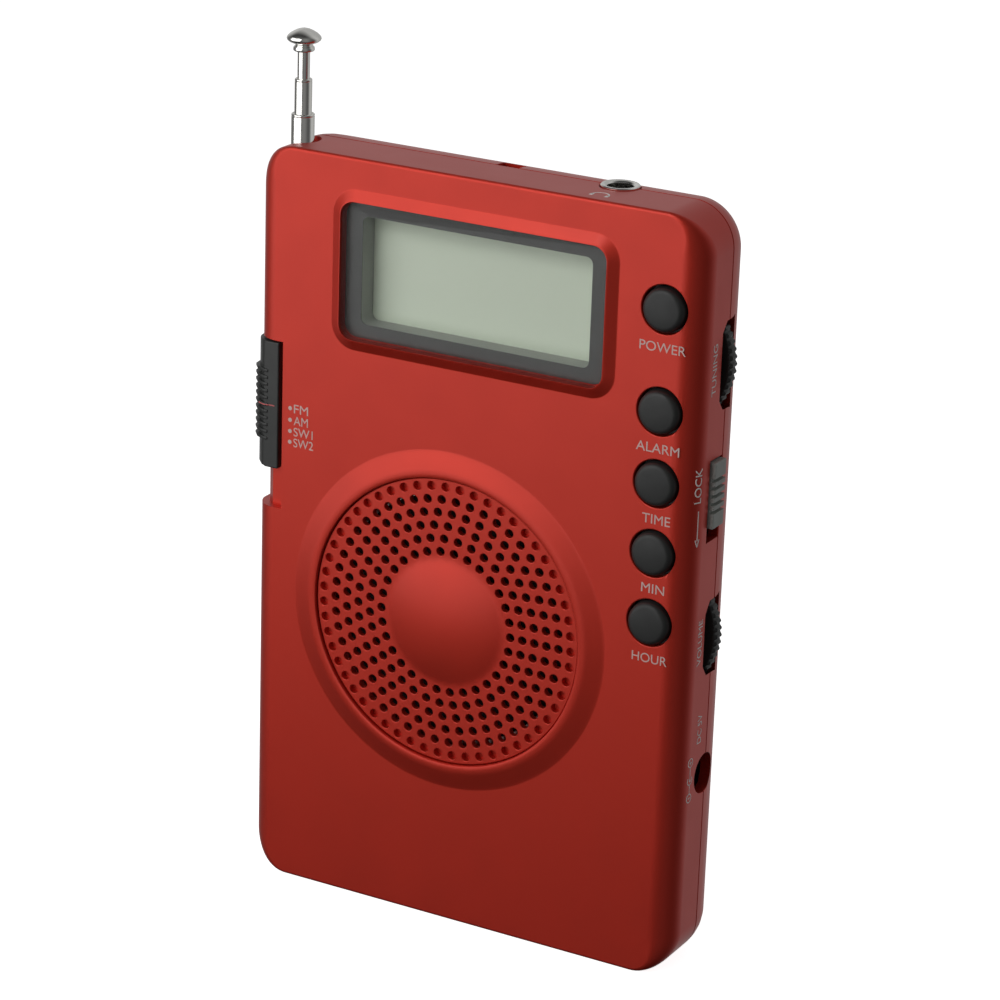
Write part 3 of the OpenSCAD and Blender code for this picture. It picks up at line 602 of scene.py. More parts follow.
def build_door():
    """The sliding battery door, with grip ribs and an arrow that shows the way it slides."""
    door = back_shell("battery_door_skin")
    block = slab((DOOR_LOW.x, DOOR_DEPTH, -1), (DOOR_HIGH.x, CASE_D + 1, DOOR_HIGH.z))
    combine(door, [block], "INTERSECT")
    floor = CASE_D - MARK_DEPTH
    grooves = []
    for i in range(6):
        z = 13.0 + 1.3 * i
        reach = 7.5 - 0.35 * i
        grooves.append(slab((-reach, floor, z), (reach, CASE_D + 1, z + 0.6)))
    arrow = [(0.0, 8.6), (2.0, 10.6), (2.6, 10.6), (0.0, 7.9), (-2.6, 10.6), (-2.0, 10.6)]
    grooves.append(loft([[(x, d, z) for x, z in arrow] for d in (floor, CASE_D + 1)]))
    return soften(cut(door, grooves))


# ---- Speaker grille ----

HOLE_RINGS = 6
HOLE_RING_R = 10.19
HOLE_RING_STEP = 1.863
FIRST_RING_HOLES = 30
MORE_HOLES = 5  # in each ring than in the one inside it
HOLE_R = 0.62
HOLE_RIM = 0.09
HOLE_SIDES = 16
PLATE_T = 0.9
PLATE_EDGE = 0.12
EDGE_SIDES = 120
DOME_R = 9.0
DOME_SIDES = 96
DOME_RINGS = 16


def filled_plate(loops):
    """Triangles between an outer loop and the loops inside it, as indices into one list of points."""
    points = [point for loop in loops for point in loop]
    owner = [number for number, loop in enumerate(loops) for _ in loop]
    edges = []
    start = 0
    for loop in loops:
        count = len(loop)
        edges += [(start + i, start + (i + 1) % count) for i in range(count)]
        start += count
    result = delaunay_2d_cdt([Vector(point) for point in points], edges, [], 0, 1e-9)
    source = [indices[0] for indices in result[3]]
    faces = []
    for face in result[2]:
        corner = [source[i] for i in face]
        owners = {owner[i] for i in corner}
        if len(owners) > 1 or owner[corner[0]] == 0:
            faces.append(tuple(corner))
    return points, faces


def build_grille():
    """The round plate with rings of holes and a dome in the middle, as one closed skin."""
    front, back = node_depths("speaker_grille")
    face = back - PLATE_T
    dome_h = face - front
    x0, z0 = SPEAKER.x, SPEAKER.z
    face_r = GRILLE_R - PLATE_EDGE
    centres = []
    for ring in range(HOLE_RINGS):
        radius = HOLE_RING_R + HOLE_RING_STEP * ring
        centres += circle_points(x0, z0, radius, FIRST_RING_HOLES + MORE_HOLES * ring)
    verts = []
    faces = []

    def add_plate(depth, edge_r, hole_r, dome):
        loops = [circle_points(x0, z0, edge_r, EDGE_SIDES)]
        if dome:
            loops.append(circle_points(x0, z0, DOME_R, DOME_SIDES))
        loops += [circle_points(x, z, hole_r, HOLE_SIDES) for x, z in centres]
        points, triangles = filled_plate(loops)
        base = len(verts)
        verts.extend((x, depth, z) for x, z in points)
        faces.extend(tuple(base + i for i in triangle) for triangle in triangles)

    def add_rings(x, z, count, steps):
        """Joins circles, given as (radius, depth), with quads."""
        faces.extend(quads_between(len(steps), count, len(verts)))
        for radius, depth in steps:
            verts.extend((px, depth, pz) for px, pz in circle_points(x, z, radius, count))

    add_plate(face, face_r, HOLE_R + HOLE_RIM, True)
    add_plate(back, GRILLE_R, HOLE_R, False)
    rim = [(HOLE_R + HOLE_RIM, face), (HOLE_R + 0.02, face + 0.04), (HOLE_R, face + 0.12), (HOLE_R, back)]
    for x, z in centres:
        add_rings(x, z, HOLE_SIDES, rim)
    add_rings(x0, z0, EDGE_SIDES, [(face_r, face), (GRILLE_R, face + PLATE_EDGE), (GRILLE_R, back)])
    dome = []
    for i in range(DOME_RINGS):
        t = i / DOME_RINGS
        dome.append((DOME_R * (1 - t), face - dome_h * t * (2 - t)))
    add_rings(x0, z0, DOME_SIDES, dome)
    tip = len(verts)
    verts.append((x0, face - dome_h, z0))
    last = tip - DOME_SIDES
    faces.extend((last + i, last + (i + 1) % DOME_SIDES, tip) for i in range(DOME_SIDES))
    grille = new_object("speaker_grille_plate", verts, faces)
    return soften(grille, angle=24)


# ---- Display ----

LENS_FIT = -0.03
MASK_T = 0.12


def build_lens():
    """The clear pane, with a rounded front edge."""
    front, back = node_depths("display_lens")
    steps = [(-0.2, front), (-0.1, front + 0.04), (-0.04, front + 0.14), (LENS_FIT, back)]
    rings = [ring_at(lens_outline(offset), depth) for offset, depth in steps]
    return soften(loft(rings, name="display_lens_pane"))


def build_mask():
    """The dark print on the back of the lens, round the clear window."""
    depth = node_depths("display_lens")[1]
    outline = lens_outline(LENS_FIT)
    plate = loft([ring_at(outline, depth), ring_at(outline, depth + MASK_T)], name="display_mask_print")
    return soften(cut(plate, [flat_drill(window_outline(0), depth - 1, depth + 1)]))


# ---- Buttons, sliders and wheels ----


def build_button(name):
    """A turned rubber key with a slightly crowned face and a rounded edge."""
    centre = node_centre(name)
    tip = node_depths(name)[0]
    edge = 0.75
    shoulder = KEY_R - 0.1 - edge
    profile = [(0.0, tip), (0.7, tip + 0.012), (1.4, tip + 0.05), (shoulder, tip + 0.12)]
    profile += arc_points(shoulder, tip + 0.13 + edge, edge, -80, -5, 10)
    profile += [(KEY_R, 0.4), (KEY_R, 1.6), (0.0, 1.6)]
    key = lathe(profile, (centre.x, 0, centre.z), "Y", 72, False, name + "_cap")
    flange = slab((centre.x - 2.4, 1.5, centre.z - 4), (centre.x + 2.4, 2.1, centre.z + 4))
    stem = drill((centre.x, 0, centre.z), 1.2, 2.0, 2.4, steps=24)
    return soften(unite(key, [flange, stem]), angle=50)


def build_index_line():
    """The mark printed over the middle ridge of the waveband slider."""
    middle = (BAND_LOW.z + BAND_HIGH.z) / 2
    outline = [(-30.6, -0.03), (-31.5, -0.03), (-31.68, -0.15), (-32.32, -0.17), (-33.4, 0.32)]
    outline += [(-33.4, 0.42), (-32.3, 0.02), (-30.6, 0.02)]
    return prism(outline, middle - 0.08, middle + 0.08, "band_index_line")


def build_band_slider():
    """The waveband slider, which wraps round the edge, with its ridges and its tongue."""
    low, high = BAND_LOW.z, BAND_HIGH.z
    skin = [(-30.0, 0.0), (-32.1, 0.0), (-33.0, 0.55), (-34.1, 1.75), (-34.32, 2.25), (-34.4, 2.9)]
    skin += [(-34.4, 7.9), (-32.95, 7.9), (-32.95, 2.6), (-31.55, 1.15), (-30.0, 1.15)]
    slider = soften(prism(skin, low, high, "band_slider_cap"), 0.22, 50, False)
    ridges = []
    count, pitch = 11, 0.98
    half = 0.24
    edge = [(-31.6, 0.3), (-31.7, -0.12), (-32.3, -0.14), (-33.7, 0.5), (-34.75, 1.7)]
    edge += [(-34.94, 2.9), (-34.95, 7.2), (-34.3, 7.5), (-34.1, 2.6), (-32.6, 0.9)]
    for i in range(count):
        middle = (low + high) / 2 + (i - (count - 1) / 2) * pitch
        ridges.append(soften(prism(edge, middle - half, middle + half), 0.12, 60, False))
    tongue = slab((-33.2, 7.25, 69.9), (-28.9, 8.05, 72.9))
    return soften(unite(slider, ridges + [tongue]), angle=40)


def build_lock_slider():
    """The grooved lock slider, its neck, the flange behind the wall and its tongue."""
    low, high = LOCK_LOW.z + LOCK_FLANGE, LOCK_HIGH.z - LOCK_FLANGE
    slider = soften(slab((32.95, 4.9, low), (34.75, 8.05, high), "lock_slider_cap"), 0.18, 50, False)
    grooves = []
    pitch, half = 1.1, 0.25
    for i in range(5):
        middle = (low + high) / 2 + (i - 2) * pitch
        grooves.append(slab((34.15, 4, middle - half), (36, 9, middle + half)))
    cut(slider, grooves)
    flange = slab((31.75, 4.3, low - LOCK_FLANGE), (32.3, 8.0, high + LOCK_FLANGE))
    neck = slab((32.2, 5.2, low + 1), (33.05, 7.6, high - 1))
    tongue = slab((29.2, 7.3, low + 3.6), (31.8, 8.0, low + 5.6))
    return soften(unite(slider, [flange, neck, tongue]), angle=40)


def build_wheel(name, shaft_r):
    """A thumbwheel with a knurled rim and eased edges."""
    z = node_centre(name).z
    front, back = node_depths(name)
    notches, per_notch, notch_depth = 60, 8, 0.32
    edge = ((0.0, 0.55, 0), (0.1, 0.3, 0.3), (0.32, 0.04, 1))  # distance in, inset, share of a notch
    steps = [(front + along, inset, bite) for along, inset, bite in edge]
    steps += [(back - along, inset, bite) for along, inset, bite in reversed(edge)]
    rings = []
    for depth, inset, bite in steps:
        ring = []
        for i in range(notches * per_notch):
            a = TAU * i / (notches * per_notch)
            notch = 0.5 - 0.5 * math.cos(notches * a)
            radius = WHEEL_R - inset - notch_depth * bite * notch ** 1.5
            ring.append((WHEEL_X + radius * math.cos(a), depth, z + radius * math.sin(a)))
        rings.append(ring)
    wheel = loft(rings, name=name + "_rim")
    place = (WHEEL_X, 0, z)
    hollow = [(2.6, front - 1), (8.3, front - 1), (8.1, front + 0.3), (2.8, front + 0.3)]
    dish = lathe(hollow, place, "Y", 64)
    bore = drill(place, 1.0, front - 1, front + 1)
    seat = drill(place, shaft_r + OVERLAP, front + 0.8, back + 1)
    return soften(cut(wheel, [dish, bore, seat]), angle=40)


# ---- Antenna, sockets and screws ----


def sleeve_profile(radius, bore, low, high):
    """A closed-ended tube whose mouth is rolled inwards, below a fine line round it."""
    lip = bore - 0.12
    floor = low + 1.5
    profile = [(0.0, low), (radius, low)]
    profile += [(radius, high - 0.42), (radius - 0.05, high - 0.36), (radius, high - 0.28)]
    profile += [(radius - 0.01, high - 0.1), (radius - 0.08, high - 0.02), (radius - 0.16, high)]
    profile += [(lip + 0.03, high), (lip, high - 0.05), (lip, high - 0.3), (bore, high - 0.4)]
    return profile + [(bore, floor), (0.0, floor)]


SLEEVES = [  # node, outer radius, bore, body
    ("antenna_outer_tube", 1.6, 1.38, "antenna_outer"),
    ("antenna_inner_tube", 1.2, 1.0, "antenna_inner"),
]
ROD_R = 0.85


def build_antenna():
    """Two sliding sleeves, the rod and its cap, each with its body and its node."""
    place = (*ANTENNA_AT, 0)
    made = []
    for node, radius, bore, body in SLEEVES:
        low, high = node_box(node)
        profile = sleeve_profile(radius, bore, low.z, high.z)
        tube = lathe(profile, place, "Z", 64, False, node + "_sleeve")
        made.append((soften(tube, angle=40, weighted=False), body, node))
    low, high = node_box("antenna_rod")
    profile = [(0, low.z), (0.8, low.z), (ROD_R, low.z + 0.05), (ROD_R, high.z), (0, high.z)]
    rod = lathe(profile, place, "Z", 48, False, "antenna_rod_bar")
    made.append((soften(rod, angle=40, weighted=False), "antenna_tip", "antenna_rod"))
    base = node_box("antenna_cap")[0].z
    profile = [(0.0, 0.06), (1.3, 0.06), (1.44, 0.16), (1.48, 0.35), (1.42, 0.62), (1.24, 0.8)]
    profile += [(1.14, 0.92), (1.18, 1.04), (1.55, 1.16), (1.98, 1.34), (2.26, 1.56), (2.36, 1.78)]
    profile += [(2.33, 1.98), (2.16, 2.22), (1.84, 2.5), (1.4, 2.78), (0.9, 3.02), (0.4, 3.16), (0.0, 3.2)]
    cap = lathe(profile, (*ANTENNA_AT, base), "Z", 72, False, "antenna_cap_knob")
    made.append((soften(cap, angle=60, weighted=False), "antenna_tip", "antenna_cap"))
    return made


COLLAR_R = 2.64
COLLAR_H = 3
JACK_BORE_R = 1.78


def build_jack_ring():
    """The bright collar of the headphone socket, with a bevelled mouth."""
    top = node_box("headphone_socket")[1].z
    profile = [(1.8, -COLLAR_H), (COLLAR_R, -COLLAR_H), (COLLAR_R, -0.12), (2.52, 0), (2.2, 0)]
    profile += [(1.95, -0.12), (1.8, -0.3)]
    ring = lathe(profile, (JACK_X, JACK_DEPTH, top), "Z", 72, name="headphone_collar")
    return soften(ring, angle=30)


def build_jack_body():
    """The black block of the headphone socket, bored for the plug and for its collar."""
    low, high = node_box("headphone_socket")
    half_w, half_d = 3, 3.2
    top = CASE_H - WALL - 0.8
    near = (JACK_X - half_w, JACK_DEPTH - half_d, low.z)
    far = (JACK_X + half_w, JACK_DEPTH + half_d, top)
    place = (JACK_X, JACK_DEPTH, 0)
    bore = drill(place, JACK_BORE_R, low.z - 1, high.z, "Z")
    seat = drill(place, COLLAR_R + OVERLAP, high.z - (COLLAR_H + OVERLAP), high.z, "Z")
    return soften(cut(slab(near, far, "headphone_body"), [bore, seat]))


def build_case_screw(index, x, z):
    """A pan head with a cross recess, set in its counterbore."""
    under = SCREW_HEAD_DEPTH
    profile = [(0.0, -8.8), (0.5, -8.8), (0.9, -8.0), (0.9, 0.0), (1.78, 0.0)]
    profile += [(1.8, 0.35), (1.6, 0.75), (1.1, 1.0), (0.5, 1.09), (0.0, 1.1)]
    screw = lathe(profile, (x, under, z), "Y", 40, False, f"case_screw_{index + 1}")
    arms = []
    for wide, tall in ((0.95, 0.17), (0.17, 0.95)):
        low = (x - wide, under + 0.5, z - tall)
        high = (x + wide, under + 2, z + tall)
        arms.append(slab(low, high))
    return soften(cut(screw, [unite(arms[0], arms[1:])]), angle=40)


# ---- Printed marks ----

PRINT_T = 0.02  # how far a mark stands above and runs below its surface
FRONT_FACE = Matrix(((1, 0, 0), (0, 0, -1), (0, 1, 0)))
RIGHT_SIDE = Matrix(((0, 0, 1), (0, -1, 0), (1, 0, 0)))
TOP_FACE = Matrix(((1, 0, 0), (0, 1, 0), (0, 0, 1)))


def follow_roll(x, depth):
    """Keeps a mark on the right side on the surface where the front edge rolls away."""
    if x > HALF_W - 1 and depth < SIDE_ROLL:
        x -= SIDE_ROLL - math.sqrt(SIDE_ROLL ** 2 - (SIDE_ROLL - depth) ** 2)
    return x


def lay_on(points, place, turn):
    """Takes flat points (across, up, out) to (x, depth, z) on the face they are printed on."""
    laid = []
    for point in points:
        x, d, z = turn @ Vector(point) + Vector(place)
        laid.append((follow_roll(x, d), d, z))
    return laid


def printed_words(words, place, turn, width, height):
    """Letters as thin solids, scaled to a width and a height."""
    name = "label_" + words.lower().replace(" ", "_")
    curve = bpy.data.curves.new(name, "FONT")
    curve.body = words
    curve.extrude = 0.5
    holder = link(bpy.data.objects.new(name, curve))
    bpy.context.view_layer.update()
    mesh = bpy.data.meshes.new_from_object(holder.evaluated_get(bpy.context.evaluated_depsgraph_get()))
    bpy.data.objects.remove(holder)
    shape = bmesh.new()
    shape.from_mesh(mesh)
    bpy.data.meshes.remove(mesh)
    bmesh.ops.remove_doubles(shape, verts=shape.verts, dist=1e-5)
    low = Vector([min(v.co[i] for v in shape.verts) for i in range(3)])
    high = Vector([max(v.co[i] for v in shape.verts) for i in range(3)])
    size, middle = high - low, (high + low) / 2
    if place[1] < SIDE_ROLL and turn == RIGHT_SIDE:
        strips = 8  # enough to bend over the rolled edge
        for step in range(1, strips):
            geometry = [*shape.verts, *shape.edges, *shape.faces]
            at = Vector((0, low.y + size.y * step / strips, 0))
            bmesh.ops.bisect_plane(shape, geom=geometry, plane_co=at, plane_no=Vector((0, 1, 0)))
    flat = []
    for v in shape.verts:
        across, up, out = v.co - middle
        flat.append((across * width / size.x, up * height / size.y, PRINT_T if out > 0 else -PRINT_T))
    faces = [[v.index for v in face.verts] for face in shape.faces]
    shape.free()
    return new_object(name, lay_on(flat, place, turn), faces)


def printed_line(name, path, width, place, turn, closed=False):
    """A printed stroke along flat points (across, up)."""
    count = len(path)
    rings = []
    for i, point in enumerate(path):
        before = path[(i - 1) % count] if closed or i > 0 else point
        after = path[(i + 1) % count] if closed or i < count - 1 else point
        along = (Vector(after) - Vector(before)).normalized()
        side = Vector((-along.y, along.x)) * width / 2
        left, right = Vector(point) + side, Vector(point) - side
        rings.append(lay_on([
            (left.x, left.y, -PRINT_T), (left.x, left.y, PRINT_T),
            (right.x, right.y, PRINT_T), (right.x, right.y, -PRINT_T)], place, turn))
    if closed:
        rings.append(rings[0])
    return loft(rings, not closed, name)


def printed_disc(name, radius, place, turn):
    rim = circle_points(0, 0, radius, 24)
    rings = [lay_on([(u, v, w) for u, v in rim], place, turn) for w in (-PRINT_T, PRINT_T)]
    return loft(rings, name=name)


KEY_WORDS = [  # words, x, z, width
    ("POWER", 28.5, 89.5, 6.7),
    ("ALARM", 28.5, 75.8, 6.3),
    ("TIME", 28.8, 66.0, 4.1),
    ("MIN", 28.8, 56.3, 3.4),
    ("HOUR", 28.8, 46.4, 5.2),
]
KEY_LETTER_H = 1.3
BAND_WORDS = [("FM", 70.64, 2.3), ("AM", 68.94, 2.3), ("SW1", 67.31, 3.1), ("SW2", 65.74, 3.2)]
BAND_WORDS_X = -27.4
BAND_LETTER_H = 1.25
SIDE_WORDS = [  # words, depth, z, width, height
    ("TUNING", 4.4, 86.3, 7.0, 1.2),
    ("LOCK", 2.1, 71.0, 4.8, 1.0),
    ("VOLUME", 4.4, 48.3, 6.5, 1.2),
    ("DC 5V", 5.8, 35.4, 4.2, 1.2),
]


def build_words():
    marks = []
    for words, x, z, width in KEY_WORDS:
        marks.append(printed_words(words, (x, 0, z), FRONT_FACE, width, KEY_LETTER_H))
    for words, z, width in BAND_WORDS:
        at = (BAND_WORDS_X + width / 2, 0, z)
        marks.append(printed_words(words, at, FRONT_FACE, width, BAND_LETTER_H))
        marks.append(printed_disc("dot_" + words.lower(), 0.3, (BAND_WORDS_X - 0.6, 0, z), FRONT_FACE))
    for words, depth, z, width, height in SIDE_WORDS:
        marks.append(printed_words(words, (HALF_W, depth, z), RIGHT_SIDE, width, height))
    return marks


def build_side_signs():
    """The arrow beside the lock slider and the polarity sign of the power inlet."""
    marks = []

    def add(name, path, width, place, closed=False):
        marks.append(printed_line(name, path, width, place, RIGHT_SIDE, closed))

    arrow = (HALF_W, 2.3, 65.0)
    add("arrow_shaft", [(2.5, 0), (0.4, 0), (-1.7, 0)], 0.12, arrow)
    add("arrow_head", [(-1.5, 0.32), (-2.5, 0.0), (-2.5, -0.01), (-1.5, -0.32)], 0.14, arrow)
    sign = (HALF_W, 3.6, 28.6)
    apart, ring_r, heavy, light = 2.6, 0.62, 0.14, 0.13
    for number, u in enumerate((-apart, apart)):
        add(f"polarity_ring_{number}", arc_points(u, 0, ring_r, 0, 342, 19), heavy, sign, True)
        add(f"polarity_dash_{number}", [(u, -0.3), (u, 0.3)], light, sign)
    add("polarity_plus", [(2.3, 0), (2.9, 0)], light, sign)
    add("polarity_arc", arc_points(0, 0, ring_r, 50, 310, 20), heavy, sign)
    marks.append(printed_disc("polarity_dot", 0.2, sign, RIGHT_SIDE))
    add("polarity_left", [(-1.98, 0), (-0.62, 0)], light, sign)
    add("polarity_right", [(0.2, 0), (1.98, 0)], light, sign)
    return marks


def build_headphone_sign():
    place = (JACK_X, 2.9, CASE_H)
    band = arc_points(0, -0.45, 1.2, 0, 180, 20)
    marks = [printed_line("headphone_band", band, 0.22, place, TOP_FACE)]
    for number, u in enumerate((-1.2, 1.2)):
        path = [(u * 0.93, -0.25), (u * 0.93, -1.0)]
        marks.append(printed_line(f"headphone_pad_{number}", path, 0.5, place, TOP_FACE))
    return marks


# ---- Materials ----


def set_inputs(node, values):
    for label, value in values.items():
        node.inputs[label].default_value = value


class Finish:
    """A Principled material with the fine grain and the wear of the real surface."""

    def __init__(self, name, colour, roughness, **settings):
        self.material = bpy.data.materials.new(name)
        self.material.use_nodes = True
        self.nodes = self.material.node_tree.nodes
        self.links = self.material.node_tree.links
        self.shader = self.nodes["Principled BSDF"]
        set_inputs(self.shader, {"Base Color": (*colour, 1.0), "Roughness": roughness})
        set_inputs(self.shader, {label.replace("_", " "): value for label, value in settings.items()})
        self.place = self.nodes.new("ShaderNodeTexCoord").outputs["Object"]

    def noise(self, scale, detail, stretch=None):
        texture = self.nodes.new("ShaderNodeTexNoise")
        set_inputs(texture, {"Scale": scale, "Detail": detail})
        place = self.place
        if stretch:
            mapping = self.nodes.new("ShaderNodeMapping")
            set_inputs(mapping, {"Scale": stretch})
            self.links.new(place, mapping.inputs["Vector"])
            place = mapping.outputs["Vector"]
        self.links.new(place, texture.inputs["Vector"])
        return texture.outputs["Fac"]

    def grain(self, scale, height, stretch=None):
        """Fine relief of a height in millimetres."""
        bump = self.nodes.new("ShaderNodeBump")
        set_inputs(bump, {"Distance": height * MM})
        self.links.new(self.noise(scale, 2.0, stretch), bump.inputs["Height"])
        for label in ("Normal", "Coat Normal"):
            self.links.new(bump.outputs["Normal"], self.shader.inputs[label])
        return self

    def worn(self, scale, smooth, rough):
        """Roughness that wanders between two values, as handling leaves it."""
        spread = self.nodes.new("ShaderNodeMapRange")
        set_inputs(spread, {"From Min": 0.3, "From Max": 0.7, "To Min": smooth, "To Max": rough})
        self.links.new(self.noise(scale, 5.0), spread.inputs["Value"])
        self.links.new(spread.outputs["Result"], self.shader.inputs["Roughness"])
        return self

    def tinted(self, scale, dark, light):
        """Colour that wanders between two shades."""
        ramp = self.nodes.new("ShaderNodeValToRGB")
        for element, at, colour in zip(ramp.color_ramp.elements, (0.35, 0.65), (dark, light)):
            element.position = at
            element.color = (*colour, 1.0)
        self.links.new(self.noise(scale, 4.0), ramp.inputs["Fac"])
        self.links.new(ramp.outputs["Color"], self.shader.inputs["Base Color"])
        return self


def build_finishes():
    """One finish for each material slot, and three for the printed marks, two of which are copies of one
    white print painted darker for the brightly lit front and lighter for the dimly lit sides.
    """
    for imported in list(bpy.data.materials):
        bpy.data.materials.remove(imported)
    made = {}

    def add(name, colour, roughness, **settings):
        finish = Finish(name, colour, roughness, **settings)
        made[name] = finish.material
        return finish

    coat = {"Coat_Weight": 1.0, "Coat_Roughness": 0.35, "Coat_IOR": 1.32}
    red = add("red_case", (0.60, 0.030, 0.012), 0.53, Metallic=0.8, **coat)
    red.grain(9000, 0.004).worn(180, 0.50, 0.56)
    add("black_rubber", (0.017, 0.0175, 0.017), 0.5).grain(6000, 0.004).worn(400, 0.42, 0.58)
    add("black_plastic", (0.026, 0.027, 0.026), 0.4).grain(5000, 0.005).worn(300, 0.33, 0.5)
    add("grey_plastic", (0.36, 0.375, 0.35), 0.45).grain(5000, 0.004).worn(300, 0.4, 0.55)
    add("clear_plastic", (0.12, 0.125, 0.12), 0.06, Alpha=0.07).worn(60, 0.03, 0.08)
    add("dark_print", (0.072, 0.075, 0.072), 0.3).grain(3000, 0.002)
    add("display_glass", (0.80, 0.90, 0.73), 0.5).grain(4000, 0.002).worn(200, 0.42, 0.55)
    add("pink_rubber", (0.6, 0.3, 0.28), 0.7).grain(3000, 0.01, stretch=(1, 0.05, 1))
    board = add("circuit_board", (0.03, 0.17, 0.06), 0.4, Coat_Weight=0.3)
    board.grain(1200, 0.01).tinted(500, (0.02, 0.13, 0.04), (0.04, 0.2, 0.07))
    metal = add("bright_metal", (0.92, 0.91, 0.87), 0.13, Metallic=1.0)
    metal.grain(2500, 0.0015, stretch=(1, 1, 0.05)).worn(500, 0.1, 0.17)
    add("plated_steel", (0.6, 0.6, 0.58), 0.3, Metallic=1.0).grain(3000, 0.004).worn(600, 0.22, 0.42)
    add("brass", (0.6, 0.43, 0.18), 0.3, Metallic=1.0).grain(3000, 0.004).worn(500, 0.22, 0.4)
    # The speaker cone is black paper, darkened further so the grille holes read as deep shade: partly its
    # own colour, partly painted shade.
    add("paper_cone", (0.012, 0.011, 0.011), 0.9).grain(2500, 0.03)
    add("white_plastic", (0.75, 0.73, 0.66), 0.5).grain(4000, 0.004).worn(300, 0.42, 0.6)
    add("brown_laminate", (0.22, 0.11, 0.05), 0.6).grain(2500, 0.01, stretch=(0.1, 1, 1))
    add("ferrite", (0.045, 0.042, 0.04), 0.6).grain(5000, 0.02)
    add("copper_wire", (0.55, 0.22, 0.1), 0.35, Metallic=1.0).grain(9000, 0.02, stretch=(1, 0.01, 0.01))
    add("component_sleeve", (0.05, 0.08, 0.2), 0.35).grain(3000, 0.004).worn(300, 0.3, 0.45)
    add("wire_insulation", (0.5, 0.03, 0.02), 0.45).grain(4000, 0.006).worn(400, 0.4, 0.55)
    add("cell_jacket", (0.05, 0.12, 0.28), 0.3, Metallic=0.4).grain(3000, 0.003).worn(300, 0.25, 0.4)
    # Two copies of one white print, painted darker on the brightly lit front and lighter on the dimly lit
    # sides: the difference between them is painted light and shade.
    add("print_front_painted_darker", (0.62, 0.44, 0.41), 0.55).grain(6000, 0.003).worn(900, 0.45, 0.65)
    add("print_side_painted_lighter", (0.95, 0.88, 0.85), 0.5).grain(6000, 0.003).worn(900, 0.45, 0.6)
    add("pink_print", (0.55, 0.12, 0.12), 0.6).grain(6000, 0.003)
    return made


# ---- Assembly ----


def dress_frame(finishes):
    """Gives every piece carried over from the frame the finish of its slot."""
    for row in frame["record"]["subparts"]:
        mesh = frame["nodes"][row["node"]].data
        mesh.materials.clear()
        mesh.materials.append(finishes[row["material_slot"]])


def build_radio(finishes):
    """Adds each modelled piece, with the body it rides on and the node it stands for."""
    dress_frame(finishes)

    def add(obj, body, slot, node):
        piece(obj, body, finishes[slot], [node])

    add(build_front_case(), "case", "red_case", "front_case")
    add(build_back_case(), "case", "red_case", "back_case")
    add(build_door(), "door", "red_case", "battery_door")
    add(build_grille(), "case", "red_case", "speaker_grille")
    add(build_lens(), "case", "clear_plastic", "display_lens")
    add(build_mask(), "case", "dark_print", "display_mask")
    for key in KEYS:
        node = key + "_button"
        add(build_button(node), key + "_key", "black_rubber", node)
    add(build_band_slider(), "band_knob", "black_plastic", "band_slider")
    piece(build_index_line(), "band_knob", finishes["pink_print"])
    add(build_lock_slider(), "lock_knob", "grey_plastic", "lock_slider")
    for node, body, shaft_r, _, _ in WHEELS:
        add(build_wheel(node, shaft_r), body, "black_plastic", node)
    for obj, body, node in build_antenna():
        add(obj, body, "bright_metal", node)
    add(build_jack_body(), "case", "black_plastic", "headphone_socket")
    piece(build_jack_ring(), "case", finishes["bright_metal"])
    for index, (x, z) in enumerate(SCREWS_AT):
        replaced = ["case_screws"] if index == 0 else []
        screw = build_case_screw(index, x, z)
        piece(screw, "case", finishes["plated_steel"], replaced)
    for mark in build_words() + build_side_signs() + build_headphone_sign():
        # Front marks take the print painted darker and side marks the print painted lighter, as painted
        # light and shade.
        on_front = mark.bound_box[6][1] < (FRONT_Y + 1) * MM
        piece(mark, "case", finishes["print_front_painted_darker" if on_front else "print_side_painted_lighter"])


# ---- Stage: floor, light and camera, in metres ----


def area_light(name, place, target, size, power):
    data = bpy.data.lights.new(name, "AREA")
    data.size = size
    data.energy = power
    light = link(bpy.data.objects.new(name, data))
    light.location = place
    light.rotation_euler = (Vector(target) - Vector(place)).to_track_quat("-Z", "Y").to_euler()
    light.visible_camera = False


def build_floor():
    half = 6.0
    corners = [(-half, -half, 0), (half, -half, 0), (half, half, 0), (-half, half, 0)]
    mesh = bpy.data.meshes.new("floor")
    mesh.from_pydata(corners, [], [(0, 1, 2, 3)])
    floor = link(bpy.data.objects.new("floor", mesh))
    finish = Finish("pale_floor", (0.9, 0.9, 0.9), 0.8, Emission_Color=(1, 1, 1, 1), Emission_Strength=0.9)
    mesh.materials.append(finish.material)
    floor.visible_diffuse = False
    floor.visible_glossy = False


# Soft panels: the direction of each, the cosine from it where it starts and is full, its strength.
PANELS = [
    ((0, 1, 0.15), 0.2, 0.6, 0.36),
    ((-1, 0.5, -0.2), 0.5, 0.8, 0.14),
    ((0, 0, 1), 0.3, 0.8, 0.04),
    ((1, -0.1, 0.1), 0.2, 0.6, 0.08),
    ((0, -1, 0.1), 0.2, 0.6, 0.09),
]


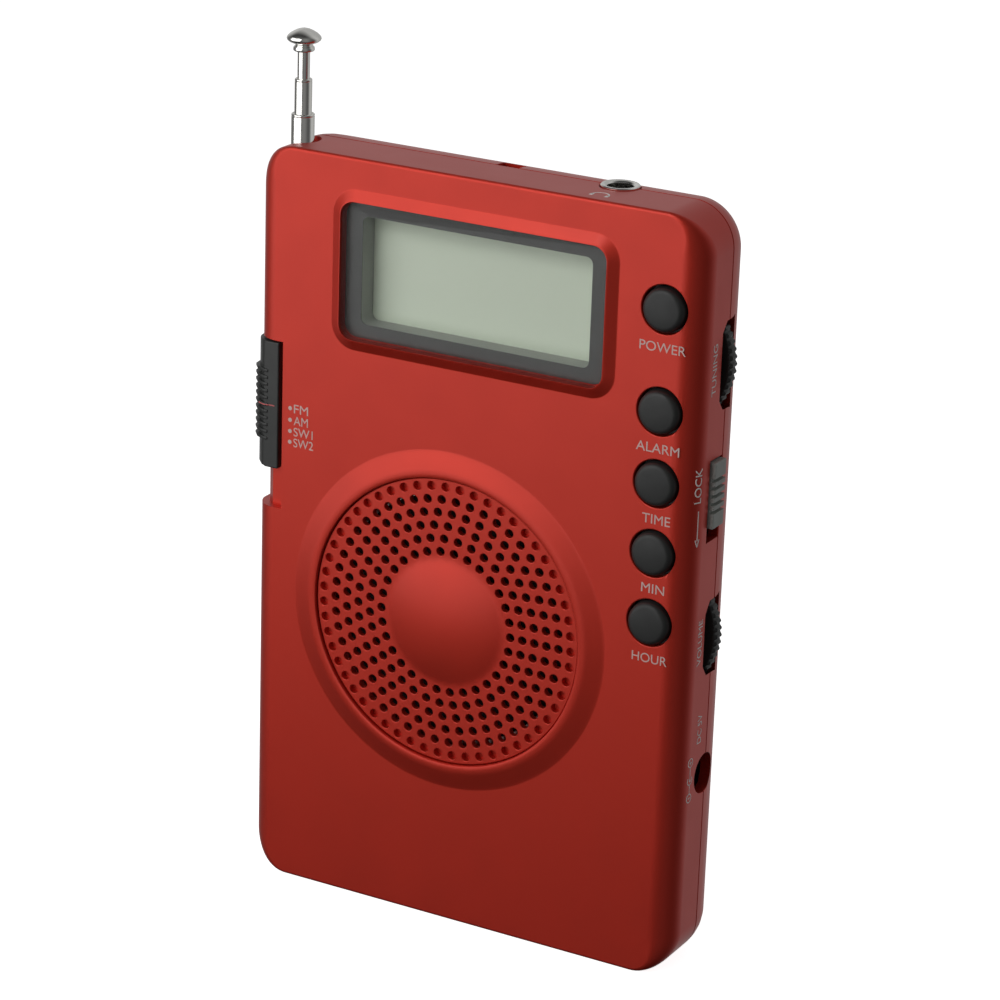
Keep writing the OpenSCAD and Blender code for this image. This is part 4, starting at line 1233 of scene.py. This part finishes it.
def build_world():
    """A dark studio lit by the soft panels, whose light adds up."""
    world = bpy.data.worlds.new("studio")
    bpy.context.scene.world = world
    world.use_nodes = True
    nodes, links = world.node_tree.nodes, world.node_tree.links
    direction = nodes.new("ShaderNodeTexCoord").outputs["Generated"]
    total = None
    for centre, dark_at, bright_at, strength in PANELS:
        towards = nodes.new("ShaderNodeVectorMath")
        towards.operation = "DOT_PRODUCT"
        towards.inputs[1].default_value = Vector(centre).normalized()
        links.new(direction, towards.inputs[0])
        fade = nodes.new("ShaderNodeMapRange")
        set_inputs(fade, {"From Min": dark_at, "From Max": bright_at, "To Max": strength})
        links.new(towards.outputs["Value"], fade.inputs["Value"])
        if total is None:
            total = fade.outputs["Result"]
            continue
        added = nodes.new("ShaderNodeMath")
        links.new(total, added.inputs[0])
        links.new(fade.outputs["Result"], added.inputs[1])
        total = added.outputs["Value"]
    background = nodes["Background"]
    set_inputs(background, {"Color": (1, 1, 1, 1)})
    links.new(total, background.inputs["Strength"])


CAMERA_AT = (0.22461, -0.40965, 0.22647)
CAMERA_TURN = (28.73, 19.61, 1.985)  # round from the front, downwards, and tilt, in degrees


def build_camera():
    data = bpy.data.cameras.new("camera")
    data.lens = 130.0
    data.sensor_width = 36.0
    camera = link(bpy.data.objects.new("camera", data))
    bpy.context.scene.camera = camera
    azimuth, elevation, tilt = (math.radians(a) for a in CAMERA_TURN)
    flat = math.cos(elevation)
    forward = Vector((-math.sin(azimuth) * flat, math.cos(azimuth) * flat, -math.sin(elevation)))
    level = Vector((math.cos(azimuth), math.sin(azimuth), 0))
    right = math.cos(tilt) * level + math.sin(tilt) * level.cross(forward)
    up = right.cross(forward)
    pose = Matrix((right, up, -forward)).transposed().to_4x4()
    pose.translation = CAMERA_AT
    camera.matrix_world = pose


finishes = build_finishes()
build_radio(finishes)
build_floor()
build_world()
build_camera()
area_light("key", (-0.06, -0.25, 0.30), (0, 0, 0.06), 0.12, 0.14)
area_light("softbox", (-0.15, -0.25, 0.15), (0, 0, 0.08), 0.4, 0.7)
bpy.context.scene.view_settings.view_transform = "Standard"
